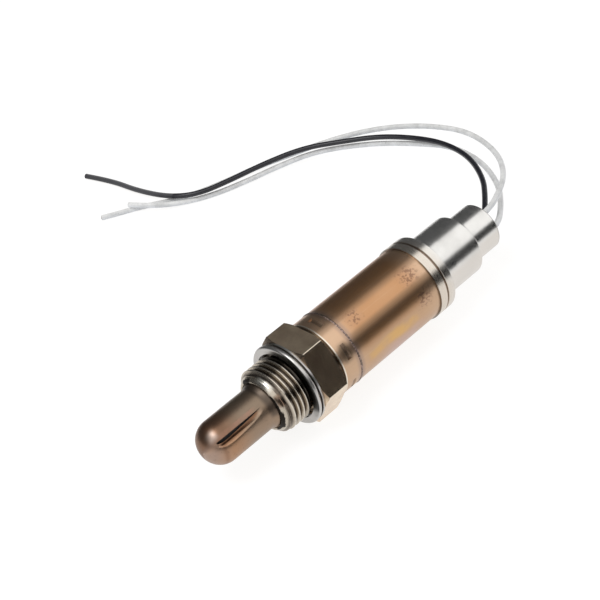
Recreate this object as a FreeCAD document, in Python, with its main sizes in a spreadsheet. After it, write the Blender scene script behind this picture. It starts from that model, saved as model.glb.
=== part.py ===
import FreeCAD, Part
import math
import os
import Sketcher
from FreeCAD import Placement, Rotation, Vector

# A heated three-wire oxygen sensor for an exhaust, lying on its side.
# Frame: millimetres, +X along the sensor from its tip to its leads, +Z up.
# The origin is on the axis, in the plane where the gasket seals.

DOCUMENT = FreeCAD.newDocument("oxygen_sensor")
SHEET = DOCUMENT.addObject("Spreadsheet::Sheet", "Sizes")
X_AXIS = Vector(1, 0, 0)

SIZES = [
    # Protective tube, with its louvres
    ("tip_reach", 28.0, "seat plane to the tip of the protective tube"),
    ("tube_radius", 5.84, "protective tube, outside"),
    ("tube_wall", 0.4, "sheet of the protective tube"),
    ("tip_rounding", 5.35, "rounding of the closed end, outside"),
    ("flare_length", 1.3, "start of the tube's flare to the front of the shell"),
    ("flare_rise", 0.56, "height of the flare"),
    ("flare_rounding", 1.0, "fillets of the flare"),
    ("flange_width", 0.5, "flange that the threaded shell holds, beyond the flare"),
    ("louvre_from", 2.2, "tip to the front end of a louvre"),
    ("louvre_deep", 6.0, "tip to the deepest place of a louvre"),
    ("louvre_margin", 3.6, "rear end of a louvre to the flange"),
    ("louvre_height", 3.0, "louvre's turning line above the tube's surface"),
    ("louvre_entry", 0.9, "how far a flap is pressed in at its front end"),
    ("louvre_depth", 1.2, "how far it is pressed in at its deepest place"),
    ("louvre_heel", 0.6, "how far it is pressed in where it starts to rise"),
    ("louvre_rise", 1.7, "length over which it rises to the surface"),
    ("louvre_corner", 3.0, "rounding of the flap where it starts to rise"),
    ("mouth_width", 0.45, "open slot beside a flap, where it is widest"),
    ("mouth_margin", 1.0, "end of a louvre to the end of its slot"),
    ("louvre_sweep", 70, "angle that a flap is turned through, degrees"),
    ("louvre_angle", 48, "first flap's free edge, degrees from +Z towards -Y"),
    ("louvre_count", 3, "louvres round the tube"),
    # Threaded shell
    ("lip_room", 0.15, "flare of the tube to the lip's bore"),
    ("lip_depth", 0.5, "front of the lip to the flange that it holds"),
    ("lip_wall", 0.45, "rolled lip at its front edge"),
    ("nose_taper", 0.9, "length of the nose's taper"),
    ("nose_rise", 0.95, "height of that taper"),
    ("nose_land", 0.1, "end of the taper to the notch"),
    ("notch_width", 0.25, "notch between nose and thread"),
    ("notch_depth", 0.2, "depth of that notch"),
    ("lead_in", 0.65, "chamfer at the start of the thread"),
    ("thread_radius", 9.0, "M18 thread, outside"),
    ("thread_length", 6.5, "threaded length, up to the seat plane"),
    ("relief_radius", 8.0, "undercut behind the thread"),
    ("hexagon_width", 22.0, "across flats"),
    ("hexagon_length", 7.4, "length of the hexagon"),
    ("hexagon_face", 11.6, "radius of the flat end faces of the hexagon"),
    ("stem_bore", 5.0, "bore round the sensing thimble, radius"),
    ("element_seat", 0.5, "seat plane to the step that carries the element"),
    ("packing_bore", 7.0, "bore behind that step, radius"),
    ("spigot_radius", 10.0, "spigot that the sleeve is pushed on"),
    ("spigot_length", 10.4, "length of the spigot"),
    ("spigot_groove", 0.35, "depth of the groove that the sleeve is staked into"),
    ("groove_room", 0.1, "groove beyond the stake on each side"),
    # Folded gasket
    ("gasket_sheet", 0.5, "sheet of the folded gasket"),
    ("gasket_gap", 0.325, "gap between its leaves"),
    ("gasket_clearance", 0.2, "thread to the gasket's bore"),
    ("gasket_width", 2.15, "width of the folded ring"),
    ("front_leaf", 1.95, "width of its front leaf"),
    # Sensing element and packing
    ("ring_sheet", 0.5, "thickness of the seal ring"),
    ("ring_bore", 4.8, "bore of the seal ring, radius"),
    ("thimble_stem", 4.4, "thimble's stem at its flange, radius"),
    ("thimble_tip", 3.3, "thimble's stem at its closed end, radius"),
    ("thimble_rounding", 3.0, "rounding of the closed end"),
    ("thimble_bore", 2.3, "bore of the thimble, radius"),
    ("thimble_gap", 2.4, "thimble's closed end to the tube's"),
    ("thimble_floor", 1.0, "wall at the closed end"),
    ("thimble_flange", 6.7, "flange of the thimble, radius"),
    ("flange_length", 4.5, "length of that flange"),
    ("thimble_neck", 4.6, "thimble behind its flange, radius"),
    ("thimble_neck_length", 9.5, "length of the thimble behind its flange"),
    ("talc_length", 3.5, "length of the packed talc ring"),
    ("press_ring_length", 1.5, "length of the ring on the talc"),
    ("running_gap", 0.1, "radial clearance between loose inner pieces"),
    # Contacts and heater
    ("heater_radius", 1.6, "ceramic heater rod"),
    ("heater_room", 1.4, "rear end of the heater to that of the terminal blades"),
    ("contact_sheet", 0.4, "sheet of the signal contact"),
    ("contact_skirt", 6.0, "part of the signal contact inside the thimble"),
    ("strip_width", 2.4, "contact strip, width"),
    ("strip_gap", 1.0, "heater to the contact strip"),
    ("strip_room", 2.4, "end of the contact strip to the rear of the terminal blades"),
    ("blade_length", 9.4, "length of the terminal blades"),
    ("blade_thickness", 0.5, "terminal blades"),
    ("blade_width", 1.8, "terminal blades"),
    ("blade_room", 0.6, "terminal blades to the rear wall of the holder"),
    ("web_length", 0.8, "web that joins a blade to its shank"),
    ("shank_radius", 0.6, "terminal shanks"),
    ("barrel_gap", 2.9, "holder to the crimp barrels"),
    ("barrel_length", 5.6, "length of a crimp barrel"),
    ("barrel_wall", 0.35, "wall of a crimp barrel"),
    ("barrel_grip", 2.0, "part of the barrel that grips the insulation"),
    # Ceramic holder and spring
    ("holder_radius", 9.2, "holder behind the shell"),
    ("holder_pocket", 5.3, "pocket round the thimble's rear end, radius"),
    ("holder_pocket_length", 8.5, "depth of that pocket"),
    ("holder_channel", 3.7, "channel round the heater, radius"),
    ("holder_step_gap", 2.4, "shell to the wide part of the holder"),
    ("spring_room", 2.6, "rear face of the holder to the end of the sleeve"),
    ("holder_floor", 8.5, "rear wall of the holder"),
    ("holder_bore", 1.3, "bores for the terminals, radius"),
    ("spring_sheet", 0.6, "disc spring"),
    ("spring_bore", 6.2, "disc spring, inner radius"),
    ("spring_radius", 9.7, "disc spring, outer radius"),
    # Protective sleeve
    ("sleeve_gap", 1.2, "hexagon to the front edge of the sleeve"),
    ("sleeve_wall", 0.5, "sheet of the sleeve"),
    ("sleeve_length", 40.35, "length of the sleeve"),
    ("stake_from_front", 2.9, "front edge of the sleeve to its stakes"),
    ("stake_width", 1.3, "width of a stake along the sensor"),
    ("stake_depth", 0.3, "depth of a stake"),
    ("stake_angle", 24, "length of a stake round the sleeve, degrees"),
    ("stake_count", 6, "stakes round the sleeve"),
    # Rear cap
    ("cap_wall", 0.4, "sheet of the rear cap"),
    ("collar_length", 5.5, "collar over the sleeve"),
    ("bead_place", 2.8, "front of the collar to the middle of its bead"),
    ("bead_width", 0.8, "rolled bead"),
    ("bead_depth", 0.35, "rolled bead"),
    ("collar_rounding", 0.2, "edge of the collar's shoulder"),
    ("neck_taper", 0.3, "waist behind the collar, below the body's radius"),
    ("neck_fillet", 0.9, "fillet between collar and waist"),
    ("neck_length", 4.4, "shoulder to the full radius of the cap's body"),
    ("body_radius", 8.65, "body of the cap"),
    ("body_length", 13.8, "shoulder to step"),
    ("body_rounding", 0.5, "edge of the step"),
    ("tail_step", 1.95, "body of the cap to its tail, in radius"),
    ("tail_length", 9.2, "length of the tail"),
    ("tail_fillet", 0.4, "fillet at the root of the tail"),
    # Grommet and leads
    ("grommet_length", 7.1, "front of the grommet to the cap's step"),
    ("grommet_rounding", 0.6, "shoulder of the grommet"),
    ("grommet_recess", 0.7, "grommet's rear face inside the tail"),
    ("lead_pitch_radius", 2.83, "leads round the axis"),
    ("lead_radius", 0.8, "lead, outside"),
    ("lead_clearance", 0.05, "hole round a lead"),
    ("lead_straight", 4.7, "straight lead behind the cap"),
    ("core_radius", 0.45, "copper strands"),
    ("core_depth", 3.0, "strands modelled at the cut end"),
    ("core_proud", 0.12, "strands beyond the insulation"),
]


class Size:
    """A number with the formula that it comes from, so that features can be bound to it."""

    def __init__(self, value, text):
        self.value = float(value)
        self.text = text

    def joined(self, other, sign, value):
        return Size(value, "(%s %s %s)" % (self.text, sign, other.text))

    def __add__(self, other):
        return self.joined(sized(other), "+", self.value + sized(other).value)

    def __radd__(self, other):
        return sized(other) + self

    def __sub__(self, other):
        return self.joined(sized(other), "-", self.value - sized(other).value)

    def __rsub__(self, other):
        return sized(other) - self

    def __mul__(self, other):
        return self.joined(sized(other), "*", self.value * sized(other).value)

    def __rmul__(self, other):
        return self * other

    def __truediv__(self, other):
        return self.joined(sized(other), "/", self.value / sized(other).value)

    def __neg__(self):
        return Size(0, "0") - self


def sized(number):
    if isinstance(number, Size):
        return number
    return Size(number, "%.9g" % number)


def lesser(one, other):
    return Size(min(one.value, other.value), "min(%s; %s)" % (one.text, other.text))


class Sheet:
    """The sizes by name, each tied to its cell."""


def fill_sheet():
    named = Sheet()
    for row, (alias, value, meaning) in enumerate(SIZES, 1):
        SHEET.set("A%d" % row, meaning)
        SHEET.set("B%d" % row, str(value))
        SHEET.setAlias("B%d" % row, alias)
    DOCUMENT.recompute()
    for alias, _, _ in SIZES:
        setattr(named, alias, Size(getattr(SHEET, alias), "Sizes." + alias))
    return named


S = fill_sheet()

# Places along the axis, each worked out from the sizes
ORIGIN = sized(0)
TIP = -S.tip_reach
NOTCH_REAR = -S.thread_length - S.lead_in
NOTCH_FRONT = NOTCH_REAR - S.notch_width
TAPER_END = NOTCH_FRONT - S.nose_land
NOSE = TAPER_END - S.nose_taper
FLANGE_FRONT = NOSE + S.lip_depth
FLANGE_REAR = FLANGE_FRONT + S.tube_wall
GASKET_REAR = 3 * S.gasket_sheet + 2 * S.gasket_gap
HEXAGON_REAR = GASKET_REAR + S.hexagon_length
SPIGOT_REAR = HEXAGON_REAR + S.spigot_length
SLEEVE_FRONT = HEXAGON_REAR + S.sleeve_gap
SLEEVE_REAR = SLEEVE_FRONT + S.sleeve_length
STAKE_MIDDLE = SLEEVE_FRONT + S.stake_from_front
SHOULDER = SLEEVE_REAR + S.cap_wall
COLLAR_FRONT = SHOULDER - S.collar_length
BEAD_MIDDLE = COLLAR_FRONT + S.bead_place
STEP = SHOULDER + S.body_length
CAP_REAR = STEP + S.tail_length
GROMMET_REAR = CAP_REAR - S.grommet_recess
THIMBLE_FRONT = S.element_seat + S.ring_sheet
THIMBLE_BACK = THIMBLE_FRONT + S.flange_length
THIMBLE_REAR = THIMBLE_BACK + S.thimble_neck_length
TALC_REAR = THIMBLE_BACK + S.talc_length
PRESS_RING_REAR = TALC_REAR + S.press_ring_length
THIMBLE_END = TIP + S.tube_wall + S.thimble_gap
THIMBLE_INSIDE = THIMBLE_END + S.thimble_floor
GASKET_BORE = S.thread_radius + S.gasket_clearance
GASKET_RADIUS = GASKET_BORE + S.gasket_width
NECK_RADIUS = S.body_radius - S.neck_taper
TAIL_RADIUS = S.body_radius - S.tail_step
LOUVRE_END = FLANGE_FRONT - S.louvre_margin
HOLDER_REAR = SLEEVE_REAR - S.spring_room
HOLDER_FLOOR = HOLDER_REAR - S.holder_floor
BLADE_REAR = HOLDER_FLOOR - S.blade_room
BARREL_FRONT = HOLDER_REAR + S.barrel_gap
BARREL_REAR = BARREL_FRONT + S.barrel_length
LEAD_FRONT = BARREL_REAR - S.barrel_grip
GROMMET_FRONT = STEP - S.grommet_length
FLARE_RADIUS = S.tube_radius + S.flare_rise
FLANGE_RADIUS = FLARE_RADIUS + S.flange_width
LIP_BORE = FLARE_RADIUS + S.lip_room
LIP_RADIUS = LIP_BORE + S.lip_wall
NOSE_RADIUS = LIP_RADIUS + S.nose_rise
SLEEVE_RADIUS = S.spigot_radius + S.sleeve_wall
COLLAR_RADIUS = SLEEVE_RADIUS + S.cap_wall
STRIP_INSIDE = S.heater_radius + S.strip_gap

# Each lead's place round the axis, in degrees from +Z towards +Y, and the points that it
# follows where it lies free, with their X from the rear end of the cap
LEADS = {
    "black": (
        120,
        [
            (13.0, 9.0, -1.6),
            (20.5, 16.0, -2.2),
            (28.0, 27.5, -3.2),
            (31.0, 40.0, -4.2),
            (29.5, 51.5, -5.0),
            (25.5, 62.0, -5.6),
            (19.0, 71.0, -6.4),
            (11.5, 80.0, -7.0),
            (0.5, 86.0, -7.8),
            (-11.0, 90.0, -8.4),
            (-21.0, 94.0, -8.7),
            (-26.5, 101.5, -8.8),
            (-28.0, 115.0, -10.2),
            (-28.0, 128.0, -10.9),
            (-30.5, 138.0, -10.9),
        ],
    ),
    "white_outer": (
        0,
        [
            (12.5, 3.0, 2.6),
            (21.5, 8.5, 1.4),
            (31.0, 19.5, -0.6),
            (37.5, 35.5, -2.8),
            (37.0, 49.0, -4.6),
            (33.0, 61.0, -6.0),
            (26.5, 71.0, -7.4),
            (18.0, 79.0, -8.8),
            (9.5, 85.0, -10.0),
            (0.0, 90.5, -10.6),
            (-10.0, 94.0, -10.9),
            (-19.0, 97.5, -10.9),
            (-26.5, 102.5, -10.9),
            (-32.5, 108.0, -10.9),
            (-38.0, 111.5, -10.9),
            (-43.0, 115.0, -10.9),
        ],
    ),
    "white_inner": (
        240,
        [
            (12.0, 2.5, -1.2),
            (20.5, 10.5, -2.2),
            (29.5, 25.0, -4.4),
            (33.0, 39.5, -6.4),
            (30.0, 50.5, -7.2),
            (26.0, 60.5, -7.8),
            (20.5, 70.0, -8.6),
            (13.5, 78.5, -9.4),
            (4.0, 83.5, -10.0),
            (-6.0, 87.5, -10.6),
            (-15.5, 91.5, -10.9),
            (-23.0, 96.0, -10.7),
            (-29.0, 100.5, -9.9),
            (-33.0, 104.5, -9.0),
            (-35.5, 110.0, -9.0),
        ],
    ),
}
ARC_SHARE = 0.45


def bind(target, path, size):
    target.setExpression(path, sized(size).text)


def new_body(label):
    body = DOCUMENT.addObject("PartDesign::Body", label)
    body.Label = label
    return body


def plane_of(body, role):
    return [plane for plane in body.Origin.OriginFeatures if plane.Role == role][0]


def new_sketch(body, label, role="XZ_Plane", along=None):
    sketch = body.newObject("Sketcher::SketchObject", label)
    sketch.AttachmentSupport = [(plane_of(body, role), "")]
    sketch.MapMode = "FlatFace"
    if along is not None:
        bind(sketch, "AttachmentOffset.Base.z", along)
    return sketch


def hold_point(sketch, element, end, place, which=("DistanceX", "DistanceY")):
    """Ties a point of the sketch to its two formulas, measured from the origin."""
    for kind, size, axis in (("DistanceX", place[0], -2), ("DistanceY", place[1], -1)):
        if kind not in which:
            continue
        if sized(size).text == "0":
            sketch.addConstraint(Sketcher.Constraint("PointOnObject", element, end, axis))
            continue
        index = sketch.addConstraint(
            Sketcher.Constraint(kind, -1, 1, element, end, sized(size).value)
        )
        sketch.renameConstraint(index, "place%d" % index)
        sketch.setExpression("Constraints.place%d" % index, sized(size).text)


def flat(place):
    return Vector(sized(place[0]).value, sized(place[1]).value, 0)


def draw_outline(sketch, places):
    """Draws a closed outline. An item is a corner, or (centre, corner) for the end of an arc
    about that centre, which runs anticlockwise where the centre is followed by True."""
    corners = [item if len(item) == 2 else item[2] for item in places]
    count = len(places)
    for number, item in enumerate(places):
        start = flat(corners[number - 1])
        finish = flat(corners[number])
        if len(item) == 2:
            sketch.addGeometry(Part.LineSegment(start, finish), False)
            continue
        centre = flat(item[0])
        circle = Part.Circle(centre, Vector(0, 0, 1), (start - centre).Length)
        first = math.atan2(start.y - centre.y, start.x - centre.x)
        last = math.atan2(finish.y - centre.y, finish.x - centre.x)
        if not item[1]:
            first, last = last, first
        sketch.addGeometry(Part.ArcOfCircle(circle, first, last), False)
    ends = [(2, 1) if len(item) == 3 and not item[1] else (1, 2) for item in places]
    for number in range(count):
        following = (number + 1) % count
        sketch.addConstraint(
            Sketcher.Constraint(
                "Coincident", number, ends[number][1], following, ends[following][0]
            )
        )
    for number, item in enumerate(places):
        if len(item) == 2:
            hold_point(sketch, number, 2, corners[number])
            continue
        hold_point(sketch, number, 3, item[0])
        spoke = flat(corners[number]) - flat(item[0])
        which = "DistanceX" if abs(spoke.y) > abs(spoke.x) else "DistanceY"
        hold_point(sketch, number, ends[number][1], corners[number], (which,))


def turn(body, label, places, kind="PartDesign::Revolution", angle=None):
    """Turns an outline of (along, radius) corners about the X axis, all the way round or
    through an angle that the outline's plane halves."""
    sketch = new_sketch(body, label + "_outline")
    draw_outline(sketch, places)
    feature = body.newObject(kind, label)
    feature.Profile = sketch
    feature.ReferenceAxis = (sketch, ["H_Axis"])
    feature.Angle = 360
    if angle is not None:
        bind(feature, "Angle", angle)
        feature.Midplane = True
    DOCUMENT.recompute()
    return feature


def pad_round(body, label, start, length, radius, out=0, kind="PartDesign::Pad"):
    """Pads or pockets a round bar along +X. out is its height above the axis."""
    sketch = new_sketch(body, label + "_outline", "YZ_Plane", start)
    sketch.addGeometry(Part.Circle(flat((0, out)), Vector(0, 0, 1), radius.value), False)
    hold_point(sketch, 0, 3, (ORIGIN, out))
    index = sketch.addConstraint(Sketcher.Constraint("Radius", 0, radius.value))
    sketch.renameConstraint(index, "size")
    sketch.setExpression("Constraints.size", radius.text)
    feature = body.newObject(kind, label)
    feature.Profile = sketch
    bind(feature, "Length", length)
    feature.Reversed = kind == "PartDesign::Pocket"
    DOCUMENT.recompute()
    return feature


def pad_flat(body, label, places, width):
    """Pads an outline in the XZ plane by half the width to each side."""
    sketch = new_sketch(body, label + "_outline")
    draw_outline(sketch, places)
    feature = body.newObject("PartDesign::Pad", label)
    feature.Profile = sketch
    feature.SideType = "Symmetric"
    bind(feature, "Length", width)
    DOCUMENT.recompute()
    return feature


def turned_piece(label, places):
    body = new_body(label)
    turn(body, label + "_turning", places)
    return body


def ring(front, rear, inner, outer):
    return [(front, inner), (front, outer), (rear, outer), (rear, inner)]


def soften(body, label, edges, radius):
    """Rounds the circular edges at the given (along, radius) places."""
    base = body.Tip
    wanted = [(sized(along).value, sized(out).value) for along, out in edges]
    names = []
    for number, edge in enumerate(base.Shape.Edges, 1):
        curve = edge.Curve
        if not isinstance(curve, Part.Circle):
            continue
        for along, out in wanted:
            if abs(curve.Center.x - along) < 1e-4 and abs(curve.Radius - out) < 1e-4:
                names.append("Edge%d" % number)
    fillet = body.newObject("PartDesign::Fillet", label)
    fillet.Base = (base, names)
    bind(fillet, "Radius", radius)
    DOCUMENT.recompute()
    return fillet


def round_pattern(body, label, feature, count, axis):
    pattern = body.newObject("PartDesign::PolarPattern", label)
    pattern.Originals = [feature]
    pattern.Axis = (feature.Profile[0], [axis])
    pattern.Angle = 360
    bind(pattern, "Occurrences", count)
    body.Tip = pattern
    DOCUMENT.recompute()
    return pattern


def combine(kind, label, base, tool):
    """A Part::Cut or Part::Common of two shapes."""
    joined = DOCUMENT.addObject(kind, label)
    joined.Label = label
    joined.Base = base
    joined.Tool = tool
    return joined


def fuse(label, shapes):
    joined = DOCUMENT.addObject("Part::MultiFuse", label)
    joined.Label = label
    joined.Shapes = shapes
    return joined


# Threaded shell: nose, thread, undercut, hexagon and spigot, in one turned piece


def threaded_shell():
    body = new_body("threaded_shell")
    thread_front = -S.thread_length
    notch_radius = NOSE_RADIUS - S.notch_depth
    turn(
        body,
        "shell_turning",
        [
            (NOSE, LIP_BORE),
            (NOSE, LIP_RADIUS),
            (TAPER_END, NOSE_RADIUS),
            (NOTCH_FRONT, NOSE_RADIUS),
            (NOTCH_FRONT, notch_radius),
            (NOTCH_REAR, notch_radius),
            (NOTCH_REAR, NOSE_RADIUS),
            (thread_front, S.thread_radius),
            (ORIGIN, S.thread_radius),
            (ORIGIN, S.relief_radius),
            (GASKET_REAR, S.relief_radius),
            (GASKET_REAR, S.spigot_radius),
            (SPIGOT_REAR, S.spigot_radius),
            (SPIGOT_REAR, S.packing_bore),
            (S.element_seat, S.packing_bore),
            (S.element_seat, S.stem_bore),
            (FLANGE_REAR, S.stem_bore),
            (FLANGE_REAR, FLANGE_RADIUS),
            (FLANGE_FRONT, FLANGE_RADIUS),
            (FLANGE_FRONT, LIP_BORE),
        ],
    )
    soften(body, "lip_rounding", [(NOSE, LIP_BORE), (NOSE, LIP_RADIUS)], S.lip_wall * 0.4)
    add_hexagon(body)
    half = S.stake_width / 2
    bottom = S.spigot_radius - S.spigot_groove
    turn(
        body,
        "stake_groove",
        [
            (STAKE_MIDDLE - half - S.groove_room, S.spigot_radius),
            (STAKE_MIDDLE - half, bottom),
            (STAKE_MIDDLE + half, bottom),
            (STAKE_MIDDLE + half + S.groove_room, S.spigot_radius),
        ],
        "PartDesign::Groove",
    )
    return body


def add_hexagon(body):
    """Pads the hexagon, bores it through and turns its corners off at 30 degrees."""
    sketch = new_sketch(body, "hexagon_outline", "YZ_Plane", GASKET_REAR)
    point = S.hexagon_width / math.sqrt(3)
    half = S.hexagon_width / 2
    draw_outline(
        sketch,
        [
            (point, ORIGIN),
            (point / 2, half),
            (-point / 2, half),
            (-point, ORIGIN),
            (-point / 2, -half),
            (point / 2, -half),
        ],
    )
    prism = body.newObject("PartDesign::Pad", "hexagon")
    prism.Profile = sketch
    bind(prism, "Length", S.hexagon_length)
    DOCUMENT.recompute()
    turn(
        body,
        "hexagon_bore",
        ring(GASKET_REAR, HEXAGON_REAR, ORIGIN, S.packing_bore),
        "PartDesign::Groove",
    )
    beyond = S.hexagon_width / 50
    corner = point + beyond
    slope = (corner - S.hexagon_face) * math.tan(math.radians(30))
    for label, face, outward, inward in (
        ("front_chamfer", GASKET_REAR, -beyond, slope),
        ("rear_chamfer", HEXAGON_REAR, beyond, -slope),
    ):
        turn(
            body,
            label,
            [
                (face, S.hexagon_face),
                (face + outward, S.hexagon_face),
                (face + outward, corner),
                (face + inward, corner),
            ],
            "PartDesign::Groove",
        )


# Gasket: one ring of sheet, folded twice, so that it is three leaves thick


def sealing_gasket():
    sheet, gap = S.gasket_sheet, S.gasket_gap
    fold = sheet + gap / 2
    high = GASKET_RADIUS - fold
    low = GASKET_BORE + fold
    second = sheet + gap
    third = second * 2
    rear_edge = GASKET_RADIUS - gap / 3
    mouth = GASKET_RADIUS - S.front_leaf
    outer_fold = (fold, high)
    inner_fold = (third - gap / 2, low)
    return turned_piece(
        "sealing_gasket",
        [
            (ORIGIN, high),
            (outer_fold, False, (second + sheet, high)),
            (second + sheet, low),
            (inner_fold, True, (third, low)),
            (third, rear_edge),
            (third + sheet, rear_edge),
            (third + sheet, low),
            (inner_fold, False, (second, low)),
            (second, high),
            (outer_fold, True, (sheet, high)),
            (sheet, mouth),
            (ORIGIN, mouth),
        ],
    )


# Protective tube: a deep-drawn cup with a louvre pressed in at each slit


def tube_cup():
    body = new_body("tube_cup")
    outer, wall = S.tube_radius, S.tube_wall
    inner = outer - wall
    flare_inside = FLARE_RADIUS - wall
    flare_start = NOSE - S.flare_length
    turn(
        body,
        "cup_drawing",
        [
            (TIP, ORIGIN),
            (TIP, outer),
            (flare_start, outer),
            (NOSE, FLARE_RADIUS),
            (FLANGE_FRONT, FLARE_RADIUS),
            (FLANGE_FRONT, FLANGE_RADIUS),
            (FLANGE_REAR, FLANGE_RADIUS),
            (FLANGE_REAR, flare_inside),
            (NOSE, flare_inside),
            (flare_start, inner),
            (TIP + wall, inner),
            (TIP + wall, ORIGIN),
        ],
    )
    soften(body, "cup_tip", [(TIP, outer)], S.tip_rounding)
    soften(body, "cup_tip_inside", [(TIP + wall, inner)], S.tip_rounding - wall)
    bends = [(flare_start, outer), (NOSE, FLARE_RADIUS), (flare_start, inner), (NOSE, flare_inside)]
    soften(body, "cup_flare", bends, S.flare_rounding)
    return body


def tube_space():
    """The space that the outside of the cup encloses, which keeps the flaps within it."""
    body = new_body("tube_space")
    turn(body, "space_turning", ring(TIP, FLANGE_FRONT, ORIGIN, S.tube_radius))
    soften(body, "space_tip", [(TIP, S.tube_radius)], S.tip_rounding)
    return body


def louvre_form(label, grown, turned):
    """The spindle that presses a louvre in. Its axis lies outside the tube, and it is turned
    from the plane of the slit towards the flap. grown is added to its radius."""
    body = new_body(label)
    line = S.tube_radius + S.louvre_height
    rim = S.louvre_height + grown
    deepest = rim + S.louvre_depth
    heel = rim + S.louvre_heel
    start = TIP + S.louvre_from
    middle = TIP + S.louvre_deep
    rise = LOUVRE_END - S.louvre_rise
    sketch = new_sketch(body, label + "_outline")
    draw_outline(
        sketch,
        [
            (start, ORIGIN),
            (start, -rim - S.louvre_entry),
            (middle, -deepest),
            (rise, -heel),
            (LOUVRE_END, -rim),
            (LOUVRE_END, ORIGIN),
        ],
    )
    feature = body.newObject("PartDesign::Revolution", label + "_spindle")
    feature.Profile = sketch
    feature.ReferenceAxis = (sketch, ["H_Axis"])
    bind(feature, "Angle", S.louvre_sweep)
    feature.Reversed = True
    DOCUMENT.recompute()
    soften(body, label + "_middle", [(middle, deepest)], S.louvre_corner * 4)
    soften(body, label + "_heel", [(rise, heel)], S.louvre_corner)
    place_round(body, turned, line)
    return body


def louvre_mouth(label, turned):
    """The open slot between a flap's free edge and the cup, where the flap has drawn away."""
    body = new_body(label)
    start = TIP + S.louvre_from + S.mouth_margin
    finish = LOUVRE_END - S.mouth_margin
    sketch = new_sketch(body, label + "_outline", "XY_Plane")
    draw_outline(
        sketch, [(start, ORIGIN), (finish, ORIGIN), (start + S.mouth_margin, S.mouth_width)]
    )
    feature = body.newObject("PartDesign::Pad", label + "_slot")
    feature.Profile = sketch
    bind(feature, "Length", S.tube_radius + S.louvre_height)
    DOCUMENT.recompute()
    place_round(body, turned)
    return body


def place_round(item, turned, out=0):
    """Turns an item about the axis, to an angle in degrees from +Z towards -Y, and moves it
    out from the axis."""
    angle = sized(turned)
    bind(item, "Placement.Rotation.Angle", angle)
    item.setExpression("Placement.Rotation.Axis.x", "1")
    item.setExpression("Placement.Rotation.Axis.z", "0")
    reach = sized(out).text
    item.setExpression("Placement.Base.y", "-%s * sin(%s * 1deg)" % (reach, angle.text))
    item.setExpression("Placement.Base.z", "%s * cos(%s * 1deg)" % (reach, angle.text))
    DOCUMENT.recompute()


def protective_tube():
    space = tube_space()
    dents = []
    flaps = []
    for number in range(round(S.louvre_count.value)):
        turned = S.louvre_angle + sized(360) / S.louvre_count * number
        dent = louvre_form("dent_%d" % number, sized(0), turned)
        press = louvre_form("press_%d" % number, S.tube_wall, turned)
        sheet = combine("Part::Common", "pressed_%d" % number, press, space)
        flaps.append(combine("Part::Cut", "flap_%d" % number, sheet, dent))
        dents += [dent, louvre_mouth("mouth_%d" % number, turned)]
    slit_cup = combine("Part::Cut", "slit_cup", tube_cup(), fuse("dents", dents))
    tube = fuse("protective_tube", [slit_cup] + flaps)
    tube.Refine = True
    DOCUMENT.recompute()
    return tube


# Sensing element, its seal and its packing


def sensing_thimble():
    body = turned_piece(
        "sensing_thimble",
        [
            (THIMBLE_END, ORIGIN),
            (THIMBLE_END, S.thimble_tip),
            (THIMBLE_FRONT, S.thimble_stem),
            (THIMBLE_FRONT, S.thimble_flange),
            (THIMBLE_BACK, S.thimble_flange),
            (THIMBLE_BACK, S.thimble_neck),
            (THIMBLE_REAR, S.thimble_neck),
            (THIMBLE_REAR, S.thimble_bore),
            (THIMBLE_INSIDE, S.thimble_bore),
            (THIMBLE_INSIDE, ORIGIN),
        ],
    )
    soften(body, "thimble_end", [(THIMBLE_END, S.thimble_tip)], S.thimble_rounding)
    return body


def seal_ring():
    outside = S.packing_bore - S.running_gap
    return turned_piece(
        "seal_ring", ring(S.element_seat, THIMBLE_FRONT, S.ring_bore, outside)
    )


def talc_packing():
    return turned_piece(
        "talc_packing", ring(THIMBLE_BACK, TALC_REAR, S.thimble_neck, S.packing_bore)
    )


def press_ring():
    inside = S.thimble_neck + S.running_gap
    outside = S.packing_bore - S.running_gap
    return turned_piece("press_ring", ring(TALC_REAR, PRESS_RING_REAR, inside, outside))


# Contacts, heater and terminals


def signal_contact():
    body = new_body("signal_contact")
    inside = S.thimble_bore - S.contact_sheet
    rim_rear = THIMBLE_REAR + S.contact_sheet
    turn(
        body,
        "contact_cup",
        [
            (THIMBLE_REAR - S.contact_skirt, inside),
            (THIMBLE_REAR - S.contact_skirt, S.thimble_bore),
            (THIMBLE_REAR, S.thimble_bore),
            (THIMBLE_REAR, S.thimble_neck),
            (rim_rear, S.thimble_neck),
            (rim_rear, inside),
        ],
    )
    outside = STRIP_INSIDE + S.contact_sheet
    pad_flat(
        body,
        "contact_strip",
        ring(
            THIMBLE_REAR + S.contact_sheet / 2, BLADE_REAR - S.strip_room, STRIP_INSIDE, outside
        ),
        S.strip_width,
    )
    place_round(body, -LEADS["black"][0])
    return body


def heater_rod():
    return turned_piece(
        "heater_rod",
        ring(THIMBLE_INSIDE, BLADE_REAR - S.heater_room, ORIGIN, S.heater_radius),
    )


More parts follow.
